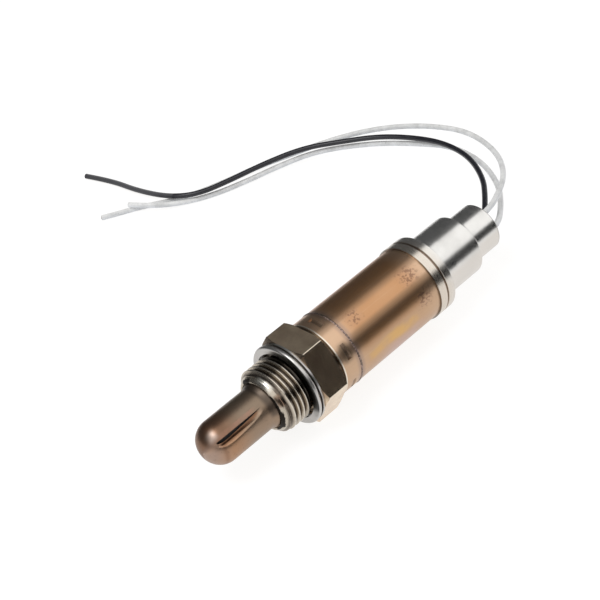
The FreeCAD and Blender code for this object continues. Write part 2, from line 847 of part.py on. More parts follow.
def terminal(label, blade_inside, turned):
    """A blade that bears on its contact, a shank through the holder and a crimp barrel."""
    body = new_body(label)
    outside = blade_inside + S.blade_thickness
    pitch = S.lead_pitch_radius
    web_front = BLADE_REAR - S.web_length
    pad_flat(
        body,
        label + "_blade",
        ring(BLADE_REAR - S.blade_length, BLADE_REAR, blade_inside, outside),
        S.blade_width,
    )
    low = blade_inside if blade_inside.value < pitch.value else pitch
    high = pitch if blade_inside.value < pitch.value else outside
    pad_flat(body, label + "_web", ring(web_front, BLADE_REAR, low, high), S.blade_thickness * 2)
    pad_round(
        body,
        label + "_shank",
        web_front,
        BARREL_FRONT + S.barrel_wall - web_front,
        S.shank_radius,
        pitch,
    )
    barrel = S.lead_radius + S.barrel_wall
    pad_round(body, label + "_barrel", BARREL_FRONT, S.barrel_length, barrel, pitch)
    pad_round(
        body, label + "_socket", LEAD_FRONT, S.barrel_grip, S.lead_radius, pitch, "PartDesign::Pocket"
    )
    place_round(body, turned)
    return body


def ceramic_holder():
    body = new_body("ceramic_holder")
    step = SPIGOT_REAR + S.holder_step_gap
    pocket_rear = PRESS_RING_REAR + S.holder_pocket_length
    front_radius = S.packing_bore - S.running_gap
    turn(
        body,
        "holder_turning",
        [
            (PRESS_RING_REAR, S.holder_pocket),
            (PRESS_RING_REAR, front_radius),
            (step, front_radius),
            (step, S.holder_radius),
            (HOLDER_REAR, S.holder_radius),
            (HOLDER_REAR, ORIGIN),
            (HOLDER_FLOOR, ORIGIN),
            (HOLDER_FLOOR, S.holder_channel),
            (pocket_rear, S.holder_channel),
            (pocket_rear, S.holder_pocket),
        ],
    )
    bore = pad_round(
        body,
        "terminal_bore",
        HOLDER_FLOOR,
        S.holder_floor,
        S.holder_bore,
        S.lead_pitch_radius,
        "PartDesign::Pocket",
    )
    round_pattern(body, "terminal_bores", bore, sized(len(LEADS)), "N_Axis")
    return body


def disc_spring():
    rear = SHOULDER - S.cap_wall
    return turned_piece(
        "disc_spring",
        [
            (HOLDER_REAR, S.spring_bore),
            (rear - S.spring_sheet, S.spring_radius),
            (rear, S.spring_radius),
            (HOLDER_REAR + S.spring_sheet, S.spring_bore),
        ],
    )


# Protective sleeve, staked to the spigot and rolled in under the collar's bead


def bead(radius, depth):
    """The four corners of the rolled bead, front to rear, on a surface of that radius."""
    half = S.bead_width / 2
    return [
        (BEAD_MIDDLE - half, radius),
        (BEAD_MIDDLE - half / 2, radius - depth),
        (BEAD_MIDDLE + half / 2, radius - depth),
        (BEAD_MIDDLE + half, radius),
    ]


def protective_sleeve():
    body = new_body("protective_sleeve")
    inner = S.spigot_radius
    turn(
        body,
        "sleeve_tube",
        [(SLEEVE_FRONT, inner), (SLEEVE_FRONT, SLEEVE_RADIUS)]
        + bead(SLEEVE_RADIUS, S.bead_depth)
        + [(SLEEVE_REAR, SLEEVE_RADIUS), (SLEEVE_REAR, inner)]
        + bead(inner, S.bead_depth)[::-1],
    )
    half = S.stake_width / 2
    above = SLEEVE_RADIUS + S.stake_depth
    dent = turn(
        body,
        "stake",
        [
            (STAKE_MIDDLE - half, above),
            (STAKE_MIDDLE - half, SLEEVE_RADIUS),
            (STAKE_MIDDLE - half / 2, SLEEVE_RADIUS - S.stake_depth),
            (STAKE_MIDDLE + half / 2, SLEEVE_RADIUS - S.stake_depth),
            (STAKE_MIDDLE + half, SLEEVE_RADIUS),
            (STAKE_MIDDLE + half, above),
        ],
        "PartDesign::Groove",
        S.stake_angle,
    )
    round_pattern(body, "stakes", dent, S.stake_count, "H_Axis")
    bump = turn(
        body,
        "stake_inside",
        [
            (STAKE_MIDDLE - half, inner),
            (STAKE_MIDDLE - half / 2, inner - S.stake_depth),
            (STAKE_MIDDLE + half / 2, inner - S.stake_depth),
            (STAKE_MIDDLE + half, inner),
        ],
        angle=S.stake_angle,
    )
    round_pattern(body, "stakes_inside", bump, S.stake_count, "H_Axis")
    return body


# Rear cap: one drawn sheet, stepped in twice, with its collar over the sleeve


def rear_cap():
    body = new_body("rear_cap")
    wall = S.cap_wall
    neck_rear = SHOULDER + S.neck_length
    turn(
        body,
        "cap_drawing",
        [(COLLAR_FRONT, COLLAR_RADIUS)]
        + bead(COLLAR_RADIUS, S.bead_depth)
        + [
            (SHOULDER, COLLAR_RADIUS),
            (SHOULDER, NECK_RADIUS),
            (neck_rear, S.body_radius),
            (STEP, S.body_radius),
            (STEP, TAIL_RADIUS),
            (CAP_REAR, TAIL_RADIUS),
            (CAP_REAR, TAIL_RADIUS - wall),
            (STEP - wall, TAIL_RADIUS - wall),
            (STEP - wall, S.body_radius - wall),
            (neck_rear, S.body_radius - wall),
            (SHOULDER - wall, NECK_RADIUS - wall),
            (SHOULDER - wall, SLEEVE_RADIUS),
        ]
        + bead(SLEEVE_RADIUS, S.bead_depth)[::-1]
        + [(COLLAR_FRONT, SLEEVE_RADIUS)],
    )
    # The fillets at the waist are no wider than the shoulder's ring-shaped walls
    neck_fillet = lesser(S.neck_fillet, (COLLAR_RADIUS - S.collar_rounding - NECK_RADIUS) * 0.9)
    neck_inside = lesser(S.neck_fillet + wall, (SLEEVE_RADIUS - NECK_RADIUS + wall) * 0.9)
    for label, along, out, radius in (
        ("collar_edge", SHOULDER, COLLAR_RADIUS, S.collar_rounding),
        ("neck_root", SHOULDER, NECK_RADIUS, neck_fillet),
        ("neck_root_inside", SHOULDER - wall, NECK_RADIUS - wall, neck_inside),
        ("step_edge", STEP, S.body_radius, S.body_rounding),
        ("step_edge_inside", STEP - wall, S.body_radius - wall, S.body_rounding / 4),
        ("tail_root", STEP, TAIL_RADIUS, S.tail_fillet),
        ("tail_root_inside", STEP - wall, TAIL_RADIUS - wall, S.tail_fillet + wall),
    ):
        soften(body, label, [(along, out)], radius)
    return body


# Grommet and leads


def cable_grommet():
    body = new_body("cable_grommet")
    wide = S.body_radius - S.cap_wall
    narrow = TAIL_RADIUS - S.cap_wall
    shoulder = STEP - S.cap_wall
    turn(
        body,
        "grommet_moulding",
        [
            (GROMMET_FRONT, ORIGIN),
            (GROMMET_FRONT, wide),
            (shoulder, wide),
            (shoulder, narrow),
            (GROMMET_REAR, narrow),
            (GROMMET_REAR, ORIGIN),
        ],
    )
    soften(body, "grommet_shoulder", [(shoulder, wide)], S.grommet_rounding)
    hole = pad_round(
        body,
        "lead_hole",
        GROMMET_FRONT,
        GROMMET_REAR - GROMMET_FRONT,
        S.lead_radius + S.lead_clearance,
        S.lead_pitch_radius,
        "PartDesign::Pocket",
    )
    round_pattern(body, "lead_holes", hole, sized(len(LEADS)), "N_Axis")
    return body


def lead_points(name):
    """A lead's route, from its crimp barrel to its cut end."""
    angle, free_points = LEADS[name]
    across = S.lead_pitch_radius.value
    place = Vector(
        0, across * math.sin(math.radians(angle)), across * math.cos(math.radians(angle))
    )
    bend = (CAP_REAR + S.lead_straight).value
    held = [place + Vector(LEAD_FRONT.value, 0, 0), place + Vector(bend, 0, 0)]
    return held + [Vector(CAP_REAR.value, 0, 0) + Vector(*point) for point in free_points]


def rounded_path(name, points):
    """Straight runs joined by tangent arcs, each as large as its two runs allow."""
    edges = []
    radii = []
    start = points[0]
    for before, corner, after in zip(points, points[1:], points[2:]):
        inward = (before - corner).normalize()
        outward = (after - corner).normalize()
        half_turn = (math.pi - inward.getAngle(outward)) / 2
        back = ARC_SHARE * min((before - corner).Length, (after - corner).Length)
        radius = back / math.tan(half_turn)
        middle = (inward + outward).normalize()
        centre_distance = radius / math.cos(half_turn)
        first = corner + inward * back
        last = corner + outward * back
        edges.append(Part.LineSegment(start, first).toShape())
        crown = corner + middle * (centre_distance - radius)
        edges.append(Part.Arc(first, crown, last).toShape())
        radii.append(radius)
        start = last
    edges.append(Part.LineSegment(start, points[-1]).toShape())
    print("%s: arc radii %s" % (name, " ".join("%.1f" % radius for radius in radii)))
    return Part.Wire(edges)


def facing(direction):
    return Rotation(Vector(0, 0, 1), direction)


def lead_and_core(name):
    """A lead, swept along its route, and the strands in its cut end."""
    points = lead_points(name)
    route = DOCUMENT.addObject("Part::Feature", "route_" + name)
    route.Shape = rounded_path(name, points)
    section = DOCUMENT.addObject("Part::Circle", "section_" + name)
    bind(section, "Radius", S.lead_radius)
    section.Placement = Placement(points[0], facing(points[1] - points[0]))
    sweep = DOCUMENT.addObject("Part::Sweep", "insulation_" + name)
    sweep.Sections = [section]
    sweep.Spine = (route, ["Edge%d" % (number + 1) for number in range(len(route.Shape.Edges))])
    sweep.Solid = True
    sweep.Frenet = False
    outward = (points[-1] - points[-2]).normalize()
    core = DOCUMENT.addObject("Part::Cylinder", "core_" + name)
    core.Label = "core_" + name
    bind(core, "Radius", S.core_radius)
    bind(core, "Height", S.core_depth + S.core_proud)
    core.Placement = Placement(points[-1] - outward * S.core_depth.value, facing(outward))
    lead = combine("Part::Cut", "lead_" + name, sweep, core)
    DOCUMENT.recompute()
    length = route.Shape.Length
    print("%s: length %.1f, volume against section and length %.4f" % (
        name, length, sweep.Shape.Volume / (math.pi * S.lead_radius.value**2 * length)))
    return lead, core


def all_pieces():
    pieces = [
        protective_tube(),
        threaded_shell(),
        sealing_gasket(),
        sensing_thimble(),
        seal_ring(),
        talc_packing(),
        press_ring(),
        signal_contact(),
        heater_rod(),
        ceramic_holder(),
        disc_spring(),
        protective_sleeve(),
        rear_cap(),
        cable_grommet(),
        terminal("signal_terminal", STRIP_INSIDE + S.contact_sheet, -LEADS["black"][0]),
        terminal("heater_terminal_a", S.heater_radius, -LEADS["white_outer"][0]),
        terminal("heater_terminal_b", S.heater_radius, -LEADS["white_inner"][0]),
    ]
    for name in LEADS:
        pieces.extend(lead_and_core(name))
    return pieces


def write_pieces(pieces):
    DOCUMENT.recompute()
    for item in DOCUMENT.Objects:
        if "Invalid" in item.State or "Error" in item.State:
            raise RuntimeError("%s failed: %s" % (item.Label, item.State))
    os.makedirs("parts", exist_ok=True)
    for piece in pieces:
        shape = piece.Shape
        if shape.isNull() or not shape.isValid() or not shape.Solids:
            raise RuntimeError("%s has no sound shape" % piece.Label)
        shape.exportStep("parts/%s.step" % piece.Label)
        box = shape.BoundBox
        print(
            "%s: %d solid, %.1f mm3, X %.2f to %.2f, radius up to %.2f"
            % (piece.Label, len(shape.Solids), shape.Volume, box.XMin, box.XMax, box.ZMax)
        )


write_pieces(all_pieces())
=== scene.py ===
"""Finishes, thread, louvred tube, weld and leads of an oxygen sensor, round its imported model."""

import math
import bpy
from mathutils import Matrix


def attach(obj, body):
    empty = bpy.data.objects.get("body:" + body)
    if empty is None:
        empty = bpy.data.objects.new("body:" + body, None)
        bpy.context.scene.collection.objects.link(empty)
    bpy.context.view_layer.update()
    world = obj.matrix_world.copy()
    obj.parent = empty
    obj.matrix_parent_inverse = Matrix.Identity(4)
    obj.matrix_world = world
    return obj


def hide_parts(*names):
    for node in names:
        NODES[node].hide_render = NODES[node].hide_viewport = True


bl_info = {
    "name": "Oxygen Sensor Looks",
    "version": (1, 0, 0),
    "blender": (4, 5, 0),
    "location": "View3D > Sidebar > Oxygen Sensor",
    "description": "Dresses the packed CAD model of an exhaust oxygen sensor",
    "category": "Object",
}

from contextlib import contextmanager

import bpy
from bpy.props import FloatProperty, FloatVectorProperty, IntProperty, PointerProperty
from mathutils import Matrix, Vector

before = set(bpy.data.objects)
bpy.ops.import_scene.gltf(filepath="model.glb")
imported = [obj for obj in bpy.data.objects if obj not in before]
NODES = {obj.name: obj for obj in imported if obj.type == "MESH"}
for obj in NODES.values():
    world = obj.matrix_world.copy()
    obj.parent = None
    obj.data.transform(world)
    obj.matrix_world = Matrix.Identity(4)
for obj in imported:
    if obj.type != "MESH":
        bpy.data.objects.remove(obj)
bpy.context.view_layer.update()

MM = 0.001
PER_METRE = 1000.0
TABLE_HEIGHT = -11.7 * MM
# Points nearer to each other than TOUCHING are one. NEAR, in millimetres, is for finding edges.
TOUCHING = 0.001 * MM
NEAR = 0.01

# The leads' routes, in millimetres in the frame of the CAD model.
LEAD_ROUTES = {
    "black": (
        (55.0, 2.451, -1.415), (70.2, 2.451, -1.415), (79.2, 2.451, -1.415), (87.5, 9.0, -1.6),
        (95.0, 16.0, -2.2), (102.5, 27.5, -3.2), (105.5, 40.0, -4.2), (104.0, 51.5, -5.0),
        (100.0, 62.0, -5.6), (93.5, 71.0, -6.4), (86.0, 80.0, -7.0), (75.0, 86.0, -7.8),
        (63.5, 90.0, -8.4), (53.5, 94.0, -8.7), (48.0, 101.5, -8.8), (46.5, 115.0, -10.2),
        (46.5, 128.0, -10.9), (44.0, 138.0, -10.9),
    ),
    "white_outer": (
        (55.0, 0.0, 2.83), (70.2, 0.0, 2.83), (79.2, 0.0, 2.83), (87.0, 3.0, 2.6),
        (96.0, 8.5, 1.4), (105.5, 19.5, -0.6), (112.0, 35.5, -2.8), (111.5, 49.0, -4.6),
        (107.5, 61.0, -6.0), (101.0, 71.0, -7.4), (92.5, 79.0, -8.8), (84.0, 85.0, -10.0),
        (74.5, 90.5, -10.6), (64.5, 94.0, -10.9), (55.5, 97.5, -10.9), (48.0, 102.5, -10.9),
        (42.0, 108.0, -10.9), (36.5, 111.5, -10.9), (31.5, 115.0, -10.9),
    ),
    "white_inner": (
        (55.0, -2.451, -1.415), (70.2, -2.451, -1.415), (79.2, -2.451, -1.415), (86.5, 2.5, -1.2),
        (95.0, 10.5, -2.2), (104.0, 25.0, -4.4), (107.5, 39.5, -6.4), (104.5, 50.5, -7.2),
        (100.5, 60.5, -7.8), (95.0, 70.0, -8.6), (88.0, 78.5, -9.4), (78.5, 83.5, -10.0),
        (68.5, 87.5, -10.6), (59.0, 91.5, -10.9), (51.5, 96.0, -10.7), (45.5, 100.5, -9.9),
        (41.5, 104.5, -9.0), (39.0, 110.0, -9.0),
    ),
}


# ------------------------ shader nodes


class Wire:
    """An output socket whose operators add the Math nodes of an expression."""

    def __init__(self, nodes, socket):
        self.nodes = nodes
        self.socket = socket

    def math(self, operation, *values, clamp=False):
        return self.nodes.node(
            "ShaderNodeMath",
            {"operation": operation, "use_clamp": clamp},
            dict(enumerate((self, *values))),
        )

    def __add__(self, other):
        return self.math("ADD", other)

    __radd__ = __add__

    def __sub__(self, other):
        return self.math("SUBTRACT", other)

    def __rsub__(self, other):
        return self.nodes.node("ShaderNodeMath", {"operation": "SUBTRACT"}, {0: other, 1: self})

    def __mul__(self, other):
        return self.math("MULTIPLY", other)

    __rmul__ = __mul__

    def __abs__(self):
        return self.math("ABSOLUTE")

    def clamped(self):
        return self.math("ADD", 0.0, clamp=True)

    def step(self, start, end):
        """A smooth rise from 0 at start to 1 at end, or a fall where end is lower."""
        if start > end:
            return 1.0 - self.step(end, start)
        return self.nodes.node(
            "ShaderNodeMapRange",
            {"interpolation_type": "SMOOTHSTEP"},
            {"Value": self, "From Min": start, "From Max": end},
        )

    def band(self, middle, half, soft):
        """1 within half of middle, falling smoothly to 0 over soft on each side."""
        return abs(self - middle).step(half + soft, half)


class NodeTree:
    """A node tree, with the one method that all its new nodes come from."""

    def __init__(self, tree):
        self.tree = tree

    def node(self, kind, settings=None, inputs=None, output=0):
        """Adds a node: first its settings, then the values or links of its sockets."""
        made = self.tree.nodes.new(kind)
        for name, value in (settings or {}).items():
            setattr(made, name, value)
        self.connect(made, inputs or {})
        return Wire(self, made.outputs[output])

    def connect(self, node, inputs):
        """Gives a node's sockets their values or links."""
        for name, value in inputs.items():
            if isinstance(value, Wire):
                self.tree.links.new(value.socket, node.inputs[name])
            else:
                node.inputs[name].default_value = value


class Material(NodeTree):
    """A material with one shader, whose sockets are named with underscores."""

    def __init__(self, name, **sockets):
        self.material = bpy.data.materials.new(name)
        self.material.use_nodes = True
        super().__init__(self.material.node_tree)
        self.shader = self.tree.nodes["Principled BSDF"]
        self.surface(**sockets)

    def surface(self, **sockets):
        """Gives the shader its values, and links what varies over the surface."""
        values = {name.replace("_", " "): value for name, value in sockets.items()}
        self.connect(self.shader, values)
        return self.material


class Finish(Material):
    """A material that is painted coat by coat, from a first colour.

    Places along the axis, distances from it and depths are in millimetres, and angles in degrees.
    """

    def __init__(self, name, colour, **sockets):
        super().__init__(name, **sockets)
        self.base = colour
        self.place = self.node("ShaderNodeTexCoord", output="Object")
        split = self.node("ShaderNodeSeparateXYZ", inputs={0: self.place}).socket.node
        self.x, self.y, self.z = (Wire(self, output) * PER_METRE for output in split.outputs)

    def mix(self, share, first, second):
        """A mix of two colours, each a wire or three numbers."""
        first, second = (c if isinstance(c, Wire) else (*c, 1.0) for c in (first, second))
        return self.node(
            "ShaderNodeMix", {"data_type": "RGBA"}, {0: share, 6: first, 7: second}, output=2
        )

    def paint(self, share, colour):
        """Covers a share of the colour so far with another."""
        self.base = self.mix(share, self.base, colour)

    def noise(self, along, across=None, detail=3.0, roughness=0.55):
        """Noise from about 0.25 to 0.75, given its cells to the millimetre along and across."""
        across = along if across is None else across
        scale = (along * PER_METRE, across * PER_METRE, across * PER_METRE)
        place = self.node("ShaderNodeMapping", inputs={"Vector": self.place, "Scale": scale})
        return self.node(
            "ShaderNodeTexNoise",
            inputs={"Vector": place, "Scale": 1.0, "Detail": detail, "Roughness": roughness},
        )

    def around(self):
        """The angle about the sensor's axis, from straight up towards the leads' side."""
        return self.y.math("ARCTAN2", self.z) * (180.0 / math.pi)

    def reach(self):
        """The distance from the sensor's axis."""
        return (self.y * self.y + self.z * self.z).math("SQRT")

    def bump(self, height, depth, strength, under=None):
        """A bump of that height and depth, over another one where that is given."""
        inputs = {"Height": height, "Distance": depth * MM, "Strength": strength}
        if under is not None:
            inputs["Normal"] = under
        return self.node("ShaderNodeBump", inputs=inputs)

    def painted(self, **sockets):
        """The material, with its coats and what else varies over the surface."""
        return self.surface(Base_Color=self.base, **sockets)


def tube_finish(steel, heat):
    """Drawn stainless sheet, browned by exhaust heat, with a pink bloom beside the slits, painted
    shade on the flaps and the flare, and a painted highlight on the dome.
    """
    f = Finish("tube_finish", steel, Metallic=1.0)
    cloud = f.noise(0.16, detail=4.0)
    fine = f.noise(1.4)
    drawn = f.noise(0.12, 5.0, detail=2.0)
    angle = f.around()
    tip = f.x.step(-15.0, -23.0)
    f.paint(tip, (0.42, 0.245, 0.145))
    upper = f.mix(tip, (0.26, 0.195, 0.14), heat)
    f.paint((angle.step(-62.0, -38.0) + (cloud - 0.5) * 0.7).clamped(), upper)
    lilac = f.x.step(-22.5, -28.0) * angle.step(-10.0, -80.0) * (0.5 + cloud)
    f.paint(lilac.clamped() * 0.6, (0.36, 0.29, 0.26))
    blush = f.x.band(-19.0, 4.5, 2.5) * angle.band(-40.0, 3.5, 5.0) * cloud.step(0.35, 0.6)
    f.paint(blush * 0.55, (0.40, 0.21, 0.15))
    # Painted shade on the flaps, darkest where they are pressed in deepest.
    pressed = f.reach().step(5.7, 5.2) * f.x.step(-26.0, -24.0)
    f.paint((pressed * f.x.band(-18.0, 7.0, 1.5)).clamped() * 0.9, (0.20, 0.10, 0.055))
    # Painted shade on the concave flare where the tube meets the shell, left off its lower near
    # side.
    flare_shade = f.x.step(-10.9, -9.4) * (0.6 + cloud * 0.5) * angle.step(-94.0, -78.0)
    f.paint(flare_shade.clamped() * 0.8, (0.055, 0.047, 0.042))
    glint = f.x.band(-25.6, 0.4, 1.3) * angle.band(-22.0, 6.0, 18.0)
    f.paint(glint * 0.4, (0.60, 0.52, 0.47))
    freckle = fine.step(0.58, 0.68) * cloud.step(0.4, 0.6)
    f.paint(freckle * 0.25, (0.12, 0.085, 0.06))
    rough = 0.35 + cloud * 0.08 + freckle * 0.1
    normal = f.bump(drawn, 0.006, 0.5, under=f.bump(fine, 0.01, 0.3))
    return f.painted(Roughness=rough, Normal=normal)


def shell_finish(steel, burnt):
    """Plated steel gone olive brown, with worn crests under a painted highlight, painted shade in
    the grooves, and soot and painted shade where the lip holds the tube.
    """
    f = Finish("shell_finish", burnt, Metallic=1.0)
    cloud = f.noise(0.2, detail=4.0)
    spots = f.noise(1.1, detail=4.0)
    turning = f.noise(7.0, 0.05, detail=2.0)
    ragged = (f.noise(0.8, detail=4.0, roughness=0.65) - 0.5) * 1.2
    angle = f.around()
    reach = f.reach()
    threaded = f.x.step(0.1, -0.1)
    behind = 1.0 - threaded
    f.paint(cloud.step(0.35, 0.68), steel)
    # The thread: plain flanks, painted shade in the grooves, and worn crests brightened with a
    # painted highlight.
    f.paint(threaded * 0.85, (0.44, 0.40, 0.34))
    groove_shade = threaded * reach.step(8.75, 8.2) * f.x.step(-7.3, -7.0)
    f.paint(groove_shade * (0.55 + spots * 0.5), (0.075, 0.055, 0.042))
    wear_and_highlight = threaded * reach.step(8.82, 8.95)
    f.paint(wear_and_highlight * 0.75, (0.70, 0.64, 0.56))
    # The hexagon: worn corners with a painted highlight, painted shade on its front and chamfer,
    # and one browner facet.
    f.paint(reach.step(12.5, 12.62) * behind * 0.9, (0.72, 0.63, 0.50))
    chamfer = f.x - (reach - 11.6) * 0.577
    front = (chamfer.step(2.28, 2.2) + f.x.step(2.28, 2.2)).clamped() * behind
    f.paint(front * angle.step(-100.0, -80.0) * 0.9, (0.09, 0.07, 0.052))
    facet = angle.step(-30.5, -32.0) * angle.step(-89.5, -88.0) * behind
    f.paint(facet * reach.step(12.7, 12.6) * 0.5, (0.44, 0.30, 0.19))
    # Painted shade in the hollows before and behind it.
    undercut = f.x.step(-1.4, -0.8) * f.x.step(2.2, 2.1) * reach.step(9.3, 9.0)
    f.paint(undercut * 0.9, (0.045, 0.04, 0.035))
    gap = f.x.step(9.45, 9.56) * reach.step(11.5, 11.3)
    f.paint(gap * 0.9, (0.06, 0.04, 0.028))
    # The nose: a painted highlight on its land, rust beside it, and soot with the painted shade of
    # pockets where the lip holds the tube.
    land = f.x.step(-6.5, -7.0) * f.x.step(-8.3, -7.9)
    # Painted highlight on the land.
    f.paint(land * angle.band(-16.0, 11.0, 13.0) * 0.8, (0.80, 0.77, 0.69))
    rust = land * angle.band(-58.0, 8.0, 8.0) * cloud.step(0.35, 0.6)
    f.paint(rust * 0.8, (0.24, 0.15, 0.10))
    grease = spots.step(0.56, 0.68) * (0.1 + threaded * 0.2 - land * 0.3).clamped()
    f.paint(grease, (0.085, 0.062, 0.046))
    # Soot and painted shade: black pockets at two places round the lip, and a ragged dark ring.
    pocket_angles = angle.band(-103.0, 18.0, 8.0) + angle.band(32.0, 10.0, 8.0)
    soot_and_shade = (f.x + ragged).band(-8.35, 0.42, 0.15) * pocket_angles.clamped()
    soot_and_shade = soot_and_shade + (f.x + ragged * 0.5).band(-8.4, 0.2, 0.15) * angle.band(-92.0, 48.0, 8.0)
    f.paint(soot_and_shade.clamped() * 0.97, (0.012, 0.008, 0.006))
    upper = angle.band(0.0, 29.0, 1.0) * behind
    rough = 0.21 + cloud * 0.05 + grease * 0.15 + soot_and_shade.clamped() * 0.3 + upper * 0.1
    flat = f.bump(spots * threaded, 0.012, 0.3)
    normal = f.bump(turning * threaded, 0.012, 0.5, under=flat)
    return f.painted(Roughness=rough, Normal=normal)


def gasket_finish(zinc):
    """Pressed steel sheet, grey, a little stained, with painted shade on the inner part of its
    front leaf.
    """
    f = Finish("gasket_finish", zinc, Metallic=1.0)
    cloud = f.noise(0.4, detail=4.0)
    fine = f.noise(3.0)
    f.paint(cloud * 0.6, (0.42, 0.405, 0.39))
    # Painted shade and dark reflection on the inner front leaf, strongest from about -14 to -92
    # degrees.
    deep = f.reach().step(11.26, 11.1) * f.x.step(0.9, 0.6)
    angle = f.around() + cloud * 20.0
    shaded = angle.step(8.0, -14.0) * angle.step(-112.0, -92.0)
    f.paint(deep * (0.12 + shaded * 0.85), (0.03, 0.03, 0.028))
    f.paint(fine.step(0.6, 0.7) * 0.3, (0.24, 0.22, 0.19))
    return f.painted(Roughness=0.27 + cloud * 0.1, Normal=f.bump(fine, 0.012, 0.35))


def sleeve_finish(steel, bronze, gold, violet):
    """Stainless tube tinted copper by its weld, with gold and lilac below and leopard spots."""
    f = Finish("sleeve_finish", steel, Metallic=1.0)
    cloud = f.noise(0.12)
    fine = f.noise(1.6)
    drawn = f.noise(0.05, 3.0, detail=2.0)
    angle = f.around()
    blot = (cloud - 0.5) * 10.0
    f.paint(f.x.band(30.0, 9.0, 7.0) * (0.7 + cloud * 0.4), bronze)
    f.paint(angle.step(-60.0, -85.0) * 0.75, (0.53, 0.36, 0.235))
    low = (angle + blot * 2.2).band(-91.0, 3.0, 9.0) * (f.x + blot * 2.2).band(29.0, 2.5, 8.0)
    f.paint(low * 0.75, gold)
    lilac = (angle + blot).step(-94.0, -108.0) * (f.x + blot).band(32.0, 4.0, 7.0)
    f.paint(lilac * 0.6, violet)
    hot = f.x.band(16.4, 0.5, 1.2)
    f.paint(hot * 0.45, (0.30, 0.22, 0.20))
    shaded = angle.band(-17.0, 3.0, 8.0) * 0.5
    shaded = shaded + angle.band(-53.0, 4.0, 7.0) * f.x.step(15.0, 18.5) * 0.7
    f.paint(shaded, (0.30, 0.185, 0.11))
    # Three patches of brown leopard spots.
    patches = f.x.band(40.9, 1.0, 3.5) * angle.band(-33.0, 7.0, 11.0)
    patches = patches + f.x.band(41.2, 0.5, 3.5) * angle.band(-73.0, 6.0, 13.0)
    patches = patches + f.x.band(21.3, 0.5, 3.0) * angle.band(-31.0, 5.0, 10.0)
    patches = patches.clamped()
    f.paint(patches * 0.15, (0.42, 0.27, 0.22))
    spots = f.noise(1.25, detail=2.0)
    f.paint((spots + patches * 0.12 - 0.12).step(0.46, 0.56) * patches * 0.6, (0.16, 0.085, 0.06))
    scratch = f.noise(0.02, 9.0, detail=1.0).step(0.68, 0.72)
    f.paint(scratch * 0.15, (0.75, 0.66, 0.55))
    # Painted highlight on the sleeve's front rim, which is also a bare cut edge.
    rim = f.x.step(11.2, 11.05)
    f.paint(rim * 0.85, (0.85, 0.78, 0.66))
    # A dark cloud by the stakes, and painted shade on the stakes' floors and walls.
    cloudy = (f.x + blot * 0.2).band(13.6, 0.7, 1.3) * (angle + blot).band(-60.0, 9.0, 9.0)
    f.paint(cloudy * 0.6, (0.20, 0.14, 0.095))
    stake = f.x.band(13.65, 0.9, 0.1) * f.reach().step(10.5, 10.42)
    f.paint(stake * 0.45, (0.10, 0.075, 0.06))
    rough = 0.28 + cloud * 0.06 + fine * 0.04
    normal = f.bump(drawn, 0.003, 0.5, under=f.bump(fine, 0.004, 0.3))
    return f.painted(Roughness=rough, Normal=normal)


def weld_finish(violet):
    """Laser weld beads, oxidised grey-violet."""
    f = Finish("weld_finish", (0.17, 0.13, 0.105), Metallic=1.0, Roughness=0.4)
    fine = f.noise(2.4)
    f.paint(fine.step(0.45, 0.62) * 0.6, violet)
    return f.painted(Normal=f.bump(fine, 0.02, 0.5))


def cap_finish(steel):
    """Bright drawn stainless sheet, bronze in the collar's bead, with painted shade at its rims and
    a painted reflection on its lower side.
    """
    f = Finish("cap_finish", steel, Metallic=1.0)
    cloud = f.noise(0.14, detail=4.0)
    fine = f.noise(2.0)
    drawn = f.noise(0.05, 3.0, detail=2.0)
    f.paint(cloud.step(0.35, 0.7) * 0.7, (0.64, 0.625, 0.60))
    # Painted reflection: darker and warmer on the lower side, where it reflects the floor.
    f.paint(f.around().step(-70.0, -85.0) * 0.7, (0.66, 0.615, 0.565))
    warm = f.x.step(53.0, 47.0)
    f.paint(warm * 0.65, (0.66, 0.57, 0.465))
    bead = f.x.band(48.8, 0.3, 0.12) * f.reach().step(10.88, 10.7)
    f.paint(bead * 0.8, (0.20, 0.13, 0.085))
    # Painted shade at the rims: in the groove by the sleeve and just past the body's rear edge.
    rim = f.x.step(46.14, 46.04) + f.x.step(74.3, 74.42)
    f.paint(rim.clamped() * 0.7, (0.12, 0.11, 0.10))
    rough = 0.20 + cloud * 0.05 + fine * 0.04
    normal = f.bump(drawn, 0.003, 0.5, under=f.bump(fine, 0.004, 0.3))
    return f.painted(Roughness=rough, Normal=normal)


def rubber_finish(black):
    """Matt moulded fluororubber."""
    f = Finish("grommet_finish", black, Roughness=0.62)
    fine = f.noise(2.6, detail=4.0)
    f.paint(fine, (0.045, 0.042, 0.040))
    return f.painted(Normal=f.bump(fine, 0.03, 0.5))


def insulation_finish(name, colour, scuffed, roughness):
    """Smooth extruded insulation, a little scuffed."""
    f = Finish(name, colour)
    cloud = f.noise(0.35)
    scuff = f.noise(1.8, detail=4.0).step(0.6, 0.72)
    f.paint(cloud.step(0.3, 0.75) * 0.5 + scuff * 0.4, scuffed)
    return f.painted(Roughness=roughness + scuff * 0.12, Normal=f.bump(cloud, 0.02, 0.3))


def strand_finish(copper):
    """Dull tinned-copper strands, cut square, with dark gaps between them."""
    f = Finish("strand_finish", (0.03, 0.02, 0.015), Metallic=0.9)
    cell = f.node(
        "ShaderNodeTexVoronoi",
        {"feature": "DISTANCE_TO_EDGE"},
        {"Vector": f.place, "Scale": 4.2 * PER_METRE},
    )
    wire = cell.step(0.04, 0.16)
    f.paint(wire, copper)
    return f.painted(Roughness=0.62 - wire * 0.2, Normal=f.bump(wire, 0.05, 0.6))


